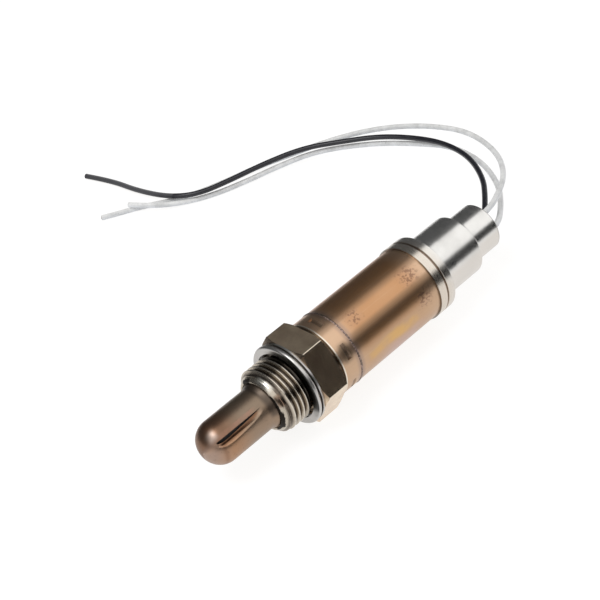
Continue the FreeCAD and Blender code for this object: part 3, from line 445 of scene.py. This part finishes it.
def inner_finish(name, colour, dirt, metallic, roughness, cells=0.5):
    """The plain finish of a piece inside the shell or cap, with a little grain."""
    f = Finish(name, colour, Metallic=metallic)
    cloud = f.noise(cells, detail=4.0)
    fine = f.noise(cells * 6)
    f.paint(cloud.step(0.35, 0.7) * 0.6 + fine.step(0.6, 0.72) * 0.3, dirt)
    return f.painted(Roughness=roughness + cloud * 0.1, Normal=f.bump(fine, 0.015, 0.4))


def thimble_finish(zirconia, soot_and_shade):
    """Zirconia finger, black at its tip with soot and painted shade, and cream under its flange."""
    f = Finish("thimble_finish", zirconia, Roughness=0.6)
    cloud = f.noise(0.5, detail=4.0)
    # Soot and painted shade over the tip, which is seen dark through the slits.
    f.paint((f.x + (cloud - 0.5) * 5.0).step(-3.0, -9.0), soot_and_shade)
    return f.painted(Normal=f.bump(cloud, 0.03, 0.4))


# ------------------------ modelling helpers


@contextmanager
def editing():
    """Edit mode, for the length of a with statement."""
    bpy.ops.object.mode_set(mode="EDIT")
    yield
    bpy.ops.object.mode_set(mode="OBJECT")


def select_only(*objects):
    """Leaves object mode's selection as these objects, with the first one active."""
    bpy.ops.object.select_all(action="DESELECT")
    for each in objects:
        each.select_set(True)
    bpy.context.view_layer.objects.active = objects[0]


def select_faces(piece, test):
    """In edit mode, selects the faces that pass the test, given their middle in millimetres."""
    bpy.ops.mesh.select_mode(type="FACE")
    bpy.ops.mesh.select_all(action="DESELECT")
    bpy.ops.object.mode_set(mode="OBJECT")
    for face in piece.data.polygons:
        face.select = test(face.center / MM)
    bpy.ops.object.mode_set(mode="EDIT")


def select_edges(piece, test, open_only=False):
    """In edit mode, selects the edges that pass the test, given their ends in millimetres."""
    bpy.ops.mesh.select_mode(type="EDGE")
    bpy.ops.mesh.select_all(action="SELECT")
    if open_only:
        bpy.ops.mesh.region_to_loop()
    bpy.ops.object.mode_set(mode="OBJECT")
    mesh = piece.data
    chosen = [
        edge
        for edge in mesh.edges
        if edge.select and test([mesh.vertices[index].co / MM for index in edge.vertices])
    ]
    for parts in (mesh.vertices, mesh.edges, mesh.polygons):
        parts.foreach_set("select", [False] * len(parts))
    for edge in chosen:
        edge.select = True
        for index in edge.vertices:
            mesh.vertices[index].select = True
    bpy.ops.object.mode_set(mode="EDIT")


def lies_across(place):
    """A test for the edges that lie across the axis at a place."""
    return lambda ends: all(abs(end.x - place) < NEAR for end in ends)


def radius_of(place):
    """The distance from the sensor's axis."""
    return math.hypot(place.y, place.z)


def merged_copy(node, name):
    """A copy of a CAD node's mesh with its corners merged, as a new piece."""
    select_only(NODES[node])
    bpy.ops.object.duplicate()
    piece = bpy.context.object
    piece.name = name
    piece.data.name = name
    for key in list(piece.keys()):
        del piece[key]
    piece.parent = None
    with editing():
        bpy.ops.mesh.select_all(action="SELECT")
        bpy.ops.mesh.remove_doubles(threshold=TOUCHING)
        bpy.ops.mesh.customdata_custom_splitnormals_clear()
    return piece


def new_plane(name, **placing):
    """A plane, as the only thing selected."""
    bpy.ops.object.select_all(action="DESELECT")
    bpy.ops.mesh.primitive_plane_add(**placing)
    plane = bpy.context.object
    plane.name = name
    return plane


def turned_profile(name, start, moves, steps, climb=0.0):
    """A profile turned once round the axis. Start and moves are along the axis and out from it."""
    piece = new_plane(name, size=MM, location=(start[0], 0.0, start[1]))
    bpy.ops.object.transform_apply(location=True)
    with editing():
        bpy.ops.mesh.select_mode(type="VERT")
        bpy.ops.mesh.select_all(action="SELECT")
        bpy.ops.mesh.merge(type="CENTER")
        for along, out in moves:
            bpy.ops.mesh.extrude_region_move(TRANSFORM_OT_translate={"value": (along, 0.0, out)})
    turn = piece.modifiers.new("turn", "SCREW")
    turn.axis = "X"
    turn.angle = math.tau
    turn.screw_offset = climb
    turn.steps = turn.render_steps = steps
    turn.use_merge_vertices = True
    turn.merge_threshold = TOUCHING
    bpy.ops.object.modifier_apply(modifier=turn.name)
    with editing():
        bpy.ops.mesh.select_all(action="SELECT")
        bpy.ops.mesh.remove_doubles(threshold=2.0 * TOUCHING)
    return piece


def finish_piece(piece, material, replaced=()):
    """Gives a new piece its finish, its body and the nodes that it stands for."""
    piece.data.materials.clear()
    piece.data.materials.append(material)
    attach(piece, "root")
    if replaced:
        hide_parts(*replaced)


def finish_node(node, material):
    """Gives a CAD node its finish."""
    for slot in NODES[node].material_slots:
        slot.link = "OBJECT"
        slot.material = material


# ------------------------ settings

COLOUR = {"subtype": "COLOR", "size": 3, "min": 0.0, "max": 1.0}
LENGTH = {"unit": "LENGTH", "precision": 5}


class SensorSteel(bpy.types.PropertyGroup):
    """Colours of the sensor's metal pieces."""

    tube: FloatVectorProperty(
        name="Tube", description="Steel of the louvred tube", default=(0.33, 0.235, 0.165), **COLOUR
    )
    tube_heat: FloatVectorProperty(
        name="Tube Heat Tint", description="Brown tint of the louvred tube",
        default=(0.215, 0.125, 0.08), **COLOUR,
    )
    shell: FloatVectorProperty(
        name="Shell", description="Steel of the threaded shell",
        default=(0.82, 0.66, 0.48), **COLOUR,
    )
    shell_burnt: FloatVectorProperty(
        name="Shell Burnt", description="Darkest brown of the threaded shell",
        default=(0.68, 0.52, 0.37), **COLOUR,
    )
    gasket: FloatVectorProperty(
        name="Gasket", description="Zinc of the folded gasket",
        default=(0.60, 0.58, 0.555), **COLOUR,
    )
    sleeve: FloatVectorProperty(
        name="Sleeve", description="Steel of the staked sleeve",
        default=(0.62, 0.42, 0.28), **COLOUR,
    )
    sleeve_bronze: FloatVectorProperty(
        name="Sleeve Bronze", description="Bronze heat tint of the sleeve",
        default=(0.51, 0.27, 0.13), **COLOUR,
    )
    sleeve_gold: FloatVectorProperty(
        name="Sleeve Gold", description="Golden heat tint of the sleeve",
        default=(0.66, 0.40, 0.14), **COLOUR,
    )
    violet: FloatVectorProperty(
        name="Violet", description="Violet heat tint by the weld",
        default=(0.54, 0.38, 0.34), **COLOUR,
    )
    cap: FloatVectorProperty(
        name="Cap", description="Steel of the rear cap", default=(0.74, 0.725, 0.70), **COLOUR
    )


class SensorThread(bpy.types.PropertyGroup):
    """Sizes of the shell's thread and of the sleeve's weld."""

    pitch: FloatProperty(
        name="Pitch", description="Distance from one crest to the next",
        default=1.5 * MM, min=0.5 * MM, max=3.0 * MM, **LENGTH,
    )
    crest: FloatProperty(
        name="Crest Radius", description="Radius of the thread's crests",
        default=9.0 * MM, min=4.0 * MM, max=20.0 * MM, **LENGTH,
    )
    root: FloatProperty(
        name="Root Radius", description="Radius of the thread's roots",
        default=8.08 * MM, min=4.0 * MM, max=20.0 * MM, **LENGTH,
    )
    start: FloatProperty(
        name="First Crest", description="Place of a crest on the sensor's top",
        default=-6.0 * MM, min=-7.5 * MM, max=0.0, **LENGTH,
    )
    steps: IntProperty(
        name="Steps", description="Faces to one turn of the thread", default=240, min=24, max=720,
    )
    weld_place: FloatProperty(
        name="Weld Place", description="Distance of the weld from the gasket's face",
        default=16.35 * MM, min=11.0 * MM, max=45.0 * MM, **LENGTH,
    )
    weld_beads: IntProperty(
        name="Weld Beads", description="Beads round the sleeve's weld", default=84, min=12, max=200,
    )


class SensorTube(bpy.types.PropertyGroup):
    """Sizes of the louvred tube."""

    tip: FloatProperty(
        name="Tip", description="Place of the tube's closed end",
        default=-28.0 * MM, min=-60.0 * MM, max=-20.0 * MM, **LENGTH,
    )
    radius: FloatProperty(
        name="Radius", description="Outside of the tube",
        default=5.84 * MM, min=5.0 * MM, max=12.0 * MM, **LENGTH,
    )
    dome: FloatProperty(
        name="Dome", description="Rounding of its closed end",
        default=5.35 * MM, min=1.0 * MM, max=5.8 * MM, **LENGTH,
    )
    sheet: FloatProperty(
        name="Sheet", description="Thickness of its sheet",
        default=0.4 * MM, min=0.1 * MM, max=1.0 * MM, **LENGTH,
    )


class SensorLeads(bpy.types.PropertyGroup):
    """Size and colours of the leads."""

    diameter: FloatProperty(
        name="Diameter", description="Diameter over the insulation",
        default=1.6 * MM, min=0.8 * MM, max=4.0 * MM, **LENGTH,
    )
    black: FloatVectorProperty(
        name="Black", description="Insulation of the signal lead",
        default=(0.012, 0.012, 0.018), **COLOUR,
    )
    white: FloatVectorProperty(
        name="White", description="Insulation of the two heater leads",
        default=(0.93, 0.93, 0.92), **COLOUR,
    )
    copper: FloatVectorProperty(
        name="Copper", description="Strands in the cut ends", default=(0.42, 0.23, 0.14), **COLOUR
    )


class SensorStudio(bpy.types.PropertyGroup):
    """Camera and light of the stage."""

    lens: FloatProperty(
        name="Lens", description="Focal length of the camera",
        default=96.0, min=20.0, max=300.0, unit="CAMERA",
    )
    fill: FloatProperty(
        name="Fill", description="Strength of the world's light on matt surfaces",
        default=0.62, min=0.0, max=2.0,
    )
    key: FloatProperty(
        name="Key", description="Power of the overhead lamp",
        default=2.4, min=0.0, max=200.0, unit="POWER",
    )


# ------------------------ the leads


class SENSOR_OT_leads(bpy.types.Operator):
    """Three insulated leads that curl round behind the sensor to their cut ends"""

    bl_idname = "sensor.leads"
    bl_label = "Leads"

    def execute(self, context):
        settings = context.scene.sensor_leads
        black = insulation_finish("black_insulation", settings.black, (0.03, 0.03, 0.035), 0.33)
        white = insulation_finish("white_insulation", settings.white, (0.52, 0.52, 0.51), 0.36)
        copper = strand_finish(settings.copper)
        for colour, route in LEAD_ROUTES.items():
            lead = self.lay_lead(colour, route, settings.diameter)
            lead.data.materials.append(black if colour == "black" else white)
            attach(lead, "root")
            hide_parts("lead_" + colour)
            finish_node("core_" + colour, copper)
        return {"FINISHED"}

    @staticmethod
    def lay_lead(colour, route, diameter):
        """A NURBS curve whose control points are the route's points."""
        curve = bpy.data.curves.new(colour + "_lead_line", "CURVE")
        curve.dimensions = "3D"
        spline = curve.splines.new("NURBS")
        spline.points.add(len(route) - 1)
        for point, place in zip(spline.points, route):
            point.co = (*(value * MM for value in place), 1.0)
        spline.order_u = 3
        spline.use_endpoint_u = True
        spline.resolution_u = 12
        curve.bevel_depth = diameter / 2
        curve.bevel_resolution = 5
        curve.use_fill_caps = True
        lead = bpy.data.objects.new(colour + "_lead", curve)
        bpy.context.scene.collection.objects.link(lead)
        return lead


# ------------------------ the metal pieces


class SENSOR_OT_threaded_shell(bpy.types.Operator):
    """The shell with its real thread between the nose and the gasket"""

    bl_idname = "sensor.threaded_shell"
    bl_label = "Threaded Shell"

    # Places, radii and widths in millimetres.
    nose_corner = -7.5
    nose_end = -7.15
    nose_radius = 7.95
    nose_slope = 1.615
    thread_end = 0.0
    runout_radius = 8.35
    runout_slope = 1.6
    plain_radius = 8.02
    facet_reach = 12.6
    facet_edge = 0.11
    nose_rounding = 0.35
    smooth_angle = math.radians(28.0)
    # A flank and half a crest: along in pitches, and out in heights of the thread.
    climb = ((0.27, 0.80), (0.035, 0.11), (0.045, 0.07), (0.05, 0.02))
    turns = 9
    turns_before_start = 3.4

    def execute(self, context):
        steel = context.scene.sensor_steel
        shell = merged_copy("threaded_shell", "threaded_body")
        self.open_thread(shell)
        thread = self.turn_thread(context.scene.sensor_thread)
        select_only(shell, thread)
        bpy.ops.object.join()
        with editing():
            for place in (self.nose_end, self.thread_end):
                select_edges(shell, lies_across(place), open_only=True)
                bpy.ops.mesh.bridge_edge_loops()
            bpy.ops.mesh.select_all(action="SELECT")
            bpy.ops.mesh.normals_make_consistent(inside=False)
            select_edges(shell, lambda ends: min(map(radius_of, ends)) > self.facet_reach)
            bpy.ops.mesh.bevel(offset=self.facet_edge * MM, segments=1, profile=0.5)
            select_edges(shell, lies_across(self.nose_corner))
            bpy.ops.mesh.bevel(offset=self.nose_rounding * MM, segments=4, profile=0.5)
        bpy.ops.object.shade_smooth_by_angle(angle=self.smooth_angle)
        finish_piece(
            shell, shell_finish(steel.shell, steel.shell_burnt), ["threaded_shell"]
        )
        return {"FINISHED"}

    def open_thread(self, shell):
        """Takes the plain thread's faces off the shell."""

        def is_thread(middle):
            between = self.nose_end + NEAR < middle.x < self.thread_end + NEAR / 10.0
            return between and radius_of(middle) > self.plain_radius

        with editing():
            select_faces(shell, is_thread)
            bpy.ops.mesh.delete(type="FACE")

    def turn_thread(self, settings):
        """A profile with rounded crests, screwed round the axis and cut to length."""
        pitch, root = settings.pitch, settings.root
        height = settings.crest - root
        sink = tuple((along, -out) for along, out in reversed(self.climb))
        legs = [(pitch * along, height * out) for along, out in (*self.climb, *sink)]
        legs.append((pitch - sum(along for along, _ in legs), 0.0))
        start = settings.start - pitch * self.turns_before_start
        thread = turned_profile("thread", (start, root), legs * self.turns, settings.steps, pitch)
        with editing():
            for place, outer in ((self.nose_end, False), (self.thread_end, True)):
                bpy.ops.mesh.select_all(action="SELECT")
                bpy.ops.mesh.bisect(
                    plane_co=(place * MM, 0.0, 0.0), plane_no=(1.0, 0.0, 0.0),
                    clear_outer=outer, clear_inner=not outer, threshold=TOUCHING / 10.0,
                )
        self.taper_ends(thread.data)
        return thread

    def taper_ends(self, mesh):
        """Keeps the thread within the cones of its lead-in and run-out."""
        for vertex in mesh.vertices:
            place = vertex.co / MM
            radius = radius_of(place)
            limit = min(
                self.nose_radius + (place.x - self.nose_end) * self.nose_slope,
                self.runout_radius - place.x * self.runout_slope,
            )
            if radius > limit:
                vertex.co.y *= limit / radius
                vertex.co.z *= limit / radius


class SENSOR_OT_weld(bpy.types.Operator):
    """The beads of the weld that joins the sleeve to the shell"""

    bl_idname = "sensor.weld"
    bl_label = "Weld"

    radius = 10.44 * MM
    bead_radius = 0.17 * MM
    bead_stretch = Vector((1.7, 1.0, 1.0))
    # How far the ring swells: in the mean, at each bead, and in a slow wave round the sleeve.
    swell = 1.12
    bead_swell = 0.24
    wave_swell = 0.1
    waves = 3.0

    def execute(self, context):
        settings = context.scene.sensor_thread
        middle = settings.weld_place
        bpy.ops.object.select_all(action="DESELECT")
        bpy.ops.mesh.primitive_torus_add(
            major_radius=self.radius, major_segments=settings.weld_beads * 4,
            minor_radius=self.bead_radius, minor_segments=10,
            location=(middle, 0.0, 0.0), rotation=(0.0, math.pi / 2, 0.0),
        )
        weld = bpy.context.object
        weld.name = "sleeve_weld"
        bpy.ops.object.transform_apply(location=True, rotation=True)
        for vertex in weld.data.vertices:
            angle = math.atan2(vertex.co.y, vertex.co.z)
            beads = self.bead_swell * math.cos(angle * settings.weld_beads)
            swell = self.swell + beads + self.wave_swell * math.sin(self.waves * angle)
            ring = Vector((middle, math.sin(angle) * self.radius, math.cos(angle) * self.radius))
            vertex.co = ring + self.bead_stretch * (vertex.co - ring) * swell
        bpy.ops.object.shade_smooth()
        finish_piece(weld, weld_finish(context.scene.sensor_steel.violet))
        return {"FINISHED"}


class SENSOR_OT_tube(bpy.types.Operator):
    """The louvred tube, one thin sheet with its flaps pressed in beside their slits"""

    bl_idname = "sensor.tube"
    bl_label = "Louvred Tube"

    # The profile's steps round the dome and rings along the wall, its steps round the axis, and
    # its collar's points, in millimetres along and out.
    dome_steps = 18
    wall_rings = 52
    ring_spacing = 0.244
    steps = 360
    smooth_angle = math.radians(40.0)
    collar = (
        (-9.75, 5.85), (-9.55, 5.89), (-9.1, 6.08), (-8.75, 6.23), (-8.5, 6.34), (-8.25, 6.39),
        (-7.9, 6.4), (-7.9, 6.89),
    )
    # Angles of the slits' upper edges, in degrees from straight up towards the leads' side.
    slits = (-45.0, 75.0, -165.0)
    # Along a slit, in millimetres and degrees: place, depth of the flap's free edge, how far that
    # edge is drawn back from the slit, and from the slit to the flap's crease.
    flap = (
        (-25.75, 0.0, 0.0, 14.0),
        (-25.3, 0.60, 6.5, 17.5),
        (-24.2, 1.05, 10.5, 21.5),
        (-22.0, 1.20, 10.8, 23.0),
        (-18.5, 1.12, 8.0, 21.0),
        (-15.0, 0.86, 5.0, 17.5),
        (-12.9, 0.50, 2.4, 13.5),
        (-11.5, 0.0, 0.0, 9.0),
    )
    # From a slit, in degrees: what lies on it and beside it, the most that a flap reaches, and
    # over how much of that it is drawn back.
    on_slit = 0.1
    beside_slit = 1.5
    flap_reach = 40.0
    drawn_reach = 16.0
    # Round the crease: how softly it bends, where the pressing ends, and how slowly it fades out.
    crease_softness = 0.035
    fade_end = 1.9
    fade = 0.7

    def execute(self, context):
        settings = context.scene.sensor_tube
        steel = context.scene.sensor_steel
        tube = self.turn_cup(settings)
        with editing():
            bpy.ops.mesh.normals_make_consistent(inside=False)
            select_edges(tube, self.is_slit)
            bpy.ops.mesh.edge_split(type="EDGE")
        self.press_flaps(tube.data)
        sheet = tube.modifiers.new("sheet", "SOLIDIFY")
        sheet.thickness = settings.sheet
        sheet.offset = -1.0
        sheet.use_even_offset = True
        bpy.ops.object.modifier_apply(modifier=sheet.name)
        bpy.ops.object.shade_smooth_by_angle(angle=self.smooth_angle)
        finish_piece(
            tube, tube_finish(steel.tube, steel.tube_heat), ["protective_tube"]
        )
        return {"FINISHED"}

    def turn_cup(self, settings):
        """The outside of the cup: its profile, turned once round the axis."""
        radius, dome, tip = (size / MM for size in (settings.radius, settings.dome, settings.tip))
        profile = [(tip, 0.0), (tip, radius - dome)]
        for step in range(1, self.dome_steps + 1):
            angle = math.radians(step * 90.0 / self.dome_steps)
            profile.append(
                (tip + dome * (1.0 - math.cos(angle)), radius - dome + dome * math.sin(angle))
            )
        for step in range(1, self.wall_rings + 1):
            profile.append((tip + dome + step * self.ring_spacing, radius))
        profile += self.collar
        moves = [
            ((after[0] - before[0]) * MM, (after[1] - before[1]) * MM)
            for before, after in zip(profile, profile[1:])
        ]
        return turned_profile("louvred_tube", (tip * MM, 0.0), moves, self.steps)

    @staticmethod
    def past(place, angle):
        """Degrees from a slit's angle to a place, counted towards the slit's flap."""
        around = math.degrees(math.atan2(place.y, place.z))
        return (angle - around + 180.0) % 360.0 - 180.0

    def is_slit(self, ends):
        """Whether an edge, given its ends, lies along a slit."""
        return (
            max(end.x for end in ends) > self.flap[0][0] + NEAR
            and min(end.x for end in ends) < self.flap[-1][0] - NEAR
            and any(
                all(abs(self.past(end, angle)) < self.on_slit for end in ends)
                for angle in self.slits
            )
        )

    def section(self, along):
        """The flap's depth, drawing back and crease at a place along the slit."""
        for before, after in zip(self.flap, self.flap[1:]):
            if before[0] < along <= after[0]:
                share = (along - before[0]) / (after[0] - before[0])
                return [b + (a - b) * share for b, a in zip(before[1:], after[1:])]
        return 0.0, 0.0, 1.0

    def press_flaps(self, mesh):
        """Presses each flap in. Beside a slit, a vertex belongs to the flap if its faces do."""
        sides = [0.0] * len(mesh.vertices)
        for face in mesh.polygons:
            for angle in self.slits:
                past = self.past(face.center, angle)
                if abs(past) < self.beside_slit:
                    for index in face.vertices:
                        sides[index] += past
        for vertex, side in zip(mesh.vertices, sides):
            place = vertex.co / MM
            depth, drawn, crease = self.section(place.x)
            if depth == 0.0:
                continue
            for angle in self.slits:
                past = self.past(place, angle)
                if not -self.on_slit <= past <= self.flap_reach:
                    continue
                if past < self.on_slit and side <= 0.0:
                    continue
                back = drawn * max(0.0, 1.0 - past / self.drawn_reach)
                turned = math.radians(angle - past - back)
                radius = radius_of(place) - depth * self.pressed(past / crease)
                vertex.co.y = radius * math.sin(turned) * MM
                vertex.co.z = radius * math.cos(turned) * MM

    def pressed(self, share):
        """The share of a flap's depth, from 1 at the slit down to nearly 0 at the crease."""
        soft = self.crease_softness
        bend = 1.0 - share * share
        excess = 0.5 * (math.sqrt(1.0 + soft) - 1.0) * max(0.0, bend)
        pressed = 0.5 * (bend + math.sqrt(bend * bend + soft)) - excess
        return pressed * min(1.0, max(0.0, (self.fade_end - share) / self.fade))


class SENSOR_OT_outside_steel(bpy.types.Operator):
    """Finishes of the gasket, sleeve, cap and grommet"""

    bl_idname = "sensor.outside_steel"
    bl_label = "Gasket, Sleeve and Cap"

    def execute(self, context):
        steel = context.scene.sensor_steel
        finish_node("sealing_gasket", gasket_finish(steel.gasket))
        finish_node(
            "protective_sleeve",
            sleeve_finish(steel.sleeve, steel.sleeve_bronze, steel.sleeve_gold, steel.violet),
        )
        finish_node("rear_cap", cap_finish(steel.cap))
        finish_node("cable_grommet", rubber_finish((0.018, 0.017, 0.017)))
        return {"FINISHED"}


class SENSOR_OT_inside_pieces(bpy.types.Operator):
    """Finishes of the pieces inside the shell and cap"""

    bl_idname = "sensor.inside_pieces"
    bl_label = "Inside Pieces"

    # Each finish's name, colour, dirt, metal, roughness and size of grain, and its pieces.
    finishes = (
        (
            ("spring_steel", (0.50, 0.50, 0.50), (0.36, 0.34, 0.31), 1.0, 0.3),
            ("seal_ring", "press_ring", "disc_spring"),
        ),
        (
            ("contact_nickel", (0.64, 0.61, 0.54), (0.46, 0.43, 0.37), 1.0, 0.28),
            ("signal_contact", "signal_terminal", "heater_terminal_a", "heater_terminal_b"),
        ),
        (("alumina", (0.86, 0.85, 0.80), (0.72, 0.69, 0.62), 0.0, 0.35), ("heater_rod",)),
        (("steatite", (0.82, 0.77, 0.66), (0.68, 0.62, 0.52), 0.0, 0.45), ("ceramic_holder",)),
        (
            ("pressed_talc", (0.72, 0.71, 0.67), (0.58, 0.56, 0.52), 0.0, 0.85, 1.2),
            ("talc_packing",),
        ),
    )

    def execute(self, context):
        finish_node("sensing_thimble", thimble_finish((0.80, 0.77, 0.70), (0.035, 0.030, 0.027)))
        for look, nodes in self.finishes:
            material = inner_finish(*look)
            for node in nodes:
                finish_node(node, material)
        return {"FINISHED"}


# ------------------------ the stage


class SENSOR_OT_stage(bpy.types.Operator):
    """Camera, white floor, dark cards beside the sensor, overhead lamp and world"""

    bl_idname = "sensor.stage"
    bl_label = "Stage"

    camera_place = (-0.17277, -0.24447, 0.25061)
    camera_turns = ((-36.88, "Z"), (52.92, "X"), (-13.94, "Z"))
    lamp_place = (-0.35, 0.10, 0.85)
    lamp_target = (0.02, 0.0, 0.0)
    lamp_size = 0.45
    world_seen = 1.25
    floor_size = 30.0
    floor_colour = (0.86, 0.90, 0.97, 1.0)
    floor_glow = (1.0, 0.985, 0.965, 1.0)
    floor_glow_strength = 1.19
    floor_glow_share = 0.74
    card_glow = (0.96, 0.98, 1.0, 1.0)
    card_width = 6.0
    # Foot and head of each card, as (y, z) in metres, and how bright it is.
    cards = {
        "near_card": ((-0.11, -0.010), (-1.0, 0.58), 0.025),
        "far_card": ((0.10, -0.0108), (0.26, 1.40), 0.095),
    }

    def execute(self, context):
        settings = context.scene.sensor_studio
        self.place_camera(context.scene, settings)
        self.light_world(context.scene, settings)
        self.lay_floor()
        for name, card in self.cards.items():
            self.stand_card(name, *card)
        self.hang_lamp(context.scene, settings)
        context.scene.view_settings.view_transform = "Standard"
        return {"FINISHED"}

    def place_camera(self, scene, settings):
        """The camera, at the photo's viewing angle."""
        lens = bpy.data.cameras.new("camera")
        lens.lens = settings.lens
        lens.sensor_width = 36.0
        lens.clip_start = 0.01
        camera = bpy.data.objects.new("camera", lens)
        scene.collection.objects.link(camera)
        aim = Matrix.Translation(self.camera_place)
        for angle, axis in self.camera_turns:
            aim = aim @ Matrix.Rotation(math.radians(angle), 4, axis)
        camera.matrix_world = aim
        scene.camera = camera

    @staticmethod
    def seen_rays(nodes):
        """1 for rays from the camera and for those in a reflection or through a clear piece."""
        path = nodes.node("ShaderNodeLightPath").socket.node
        camera, glossy, clear = (
            Wire(nodes, path.outputs[name])
            for name in ("Is Camera Ray", "Is Glossy Ray", "Is Transmission Ray")
        )
        return camera.math("MAXIMUM", glossy).math("MAXIMUM", clear)

    def light_world(self, scene, settings):
        """White to the eye and in reflections, and softer as light on matt surfaces."""
        scene.world = bpy.data.worlds.new("studio")
        scene.world.use_nodes = True
        nodes = NodeTree(scene.world.node_tree)
        seen = self.seen_rays(nodes)
        strength = nodes.node(
            "ShaderNodeMapRange",
            inputs={"Value": seen, "To Min": settings.fill, "To Max": self.world_seen},
        )
        nodes.connect(
            nodes.tree.nodes["Background"], {"Color": (1.0, 1.0, 1.0, 1.0), "Strength": strength}
        )

    def lay_floor(self):
        """A white floor that keeps a soft shadow."""
        floor = new_plane("floor", size=self.floor_size, location=(0.0, 0.0, TABLE_HEIGHT))
        white = Material(
            "floor_white", Base_Color=self.floor_colour, Roughness=0.9, Specular_IOR_Level=0.0
        )
        glow = white.node(
            "ShaderNodeEmission",
            inputs={"Color": self.floor_glow, "Strength": self.floor_glow_strength},
        )
        share = self.seen_rays(white) * self.floor_glow_share
        matt = Wire(white, white.shader.outputs[0])
        mixed = white.node("ShaderNodeMixShader", inputs={0: share, 1: matt, 2: glow})
        white.connect(white.tree.nodes["Material Output"], {"Surface": mixed})
        floor.data.materials.append(white.material)

    def stand_card(self, name, foot, head, grey):
        """A card that only shows in reflections, from its foot to its head."""
        rise = Vector(head) - Vector(foot)
        middle = (Vector(head) + Vector(foot)) / 2
        tilt = (math.atan2(rise.y, rise.x), 0.0, 0.0)
        card = new_plane(name, size=1.0, location=(0.0, *middle), rotation=tilt)
        card.scale = (self.card_width, rise.length, 1.0)
        bpy.ops.object.transform_apply(scale=True)
        dark = Material(
            name, Base_Color=(0.0, 0.0, 0.0, 1.0), Roughness=1.0, Specular_IOR_Level=0.0,
            Emission_Color=self.card_glow, Emission_Strength=grey,
        )
        card.data.materials.append(dark.material)
        card.visible_camera = False
        card.visible_diffuse = False
        card.visible_shadow = False

    def hang_lamp(self, scene, settings):
        """A soft round lamp over the sensor's tip."""
        lamp = bpy.data.lights.new("overhead", "AREA")
        lamp.shape = "DISK"
        lamp.size = self.lamp_size
        lamp.energy = settings.key
        hung = bpy.data.objects.new("overhead", lamp)
        scene.collection.objects.link(hung)
        hung.location = self.lamp_place
        aim = Vector(self.lamp_target) - hung.location
        hung.rotation_euler = aim.to_track_quat("-Z", "Y").to_euler()


# ------------------------ sidebar and registration


class SENSOR_PT_looks(bpy.types.Panel):
    """Steps and settings of the sensor's looks"""

    bl_idname = "SENSOR_PT_looks"
    bl_label = "Oxygen Sensor"
    bl_space_type = "VIEW_3D"
    bl_region_type = "UI"
    bl_category = "Oxygen Sensor"

    def draw(self, context):
        for name in GROUPS:
            group = getattr(context.scene, name)
            box = self.layout.box()
            for key in group.__annotations__:
                box.prop(group, key)
        for operator in OPERATORS:
            self.layout.operator(operator.bl_idname)


OPERATORS = (
    SENSOR_OT_stage,
    SENSOR_OT_leads,
    SENSOR_OT_threaded_shell,
    SENSOR_OT_weld,
    SENSOR_OT_tube,
    SENSOR_OT_outside_steel,
    SENSOR_OT_inside_pieces,
)
GROUPS = {
    "sensor_steel": SensorSteel,
    "sensor_thread": SensorThread,
    "sensor_tube": SensorTube,
    "sensor_leads": SensorLeads,
    "sensor_studio": SensorStudio,
}


def register():
    for group in GROUPS.values():
        bpy.utils.register_class(group)
    for operator in OPERATORS:
        bpy.utils.register_class(operator)
    bpy.utils.register_class(SENSOR_PT_looks)
    for name, group in GROUPS.items():
        setattr(bpy.types.Scene, name, PointerProperty(type=group))


def unregister():
    for name in GROUPS:
        delattr(bpy.types.Scene, name)
    bpy.utils.unregister_class(SENSOR_PT_looks)
    for operator in reversed(OPERATORS):
        bpy.utils.unregister_class(operator)
    for group in GROUPS.values():
        bpy.utils.unregister_class(group)


def main():
    register()
    bpy.ops.sensor.stage()
    bpy.ops.sensor.leads()
    bpy.ops.sensor.threaded_shell()
    bpy.ops.sensor.weld()
    bpy.ops.sensor.tube()
    bpy.ops.sensor.outside_steel()
    bpy.ops.sensor.inside_pieces()


if __name__ == "__main__":
    main()
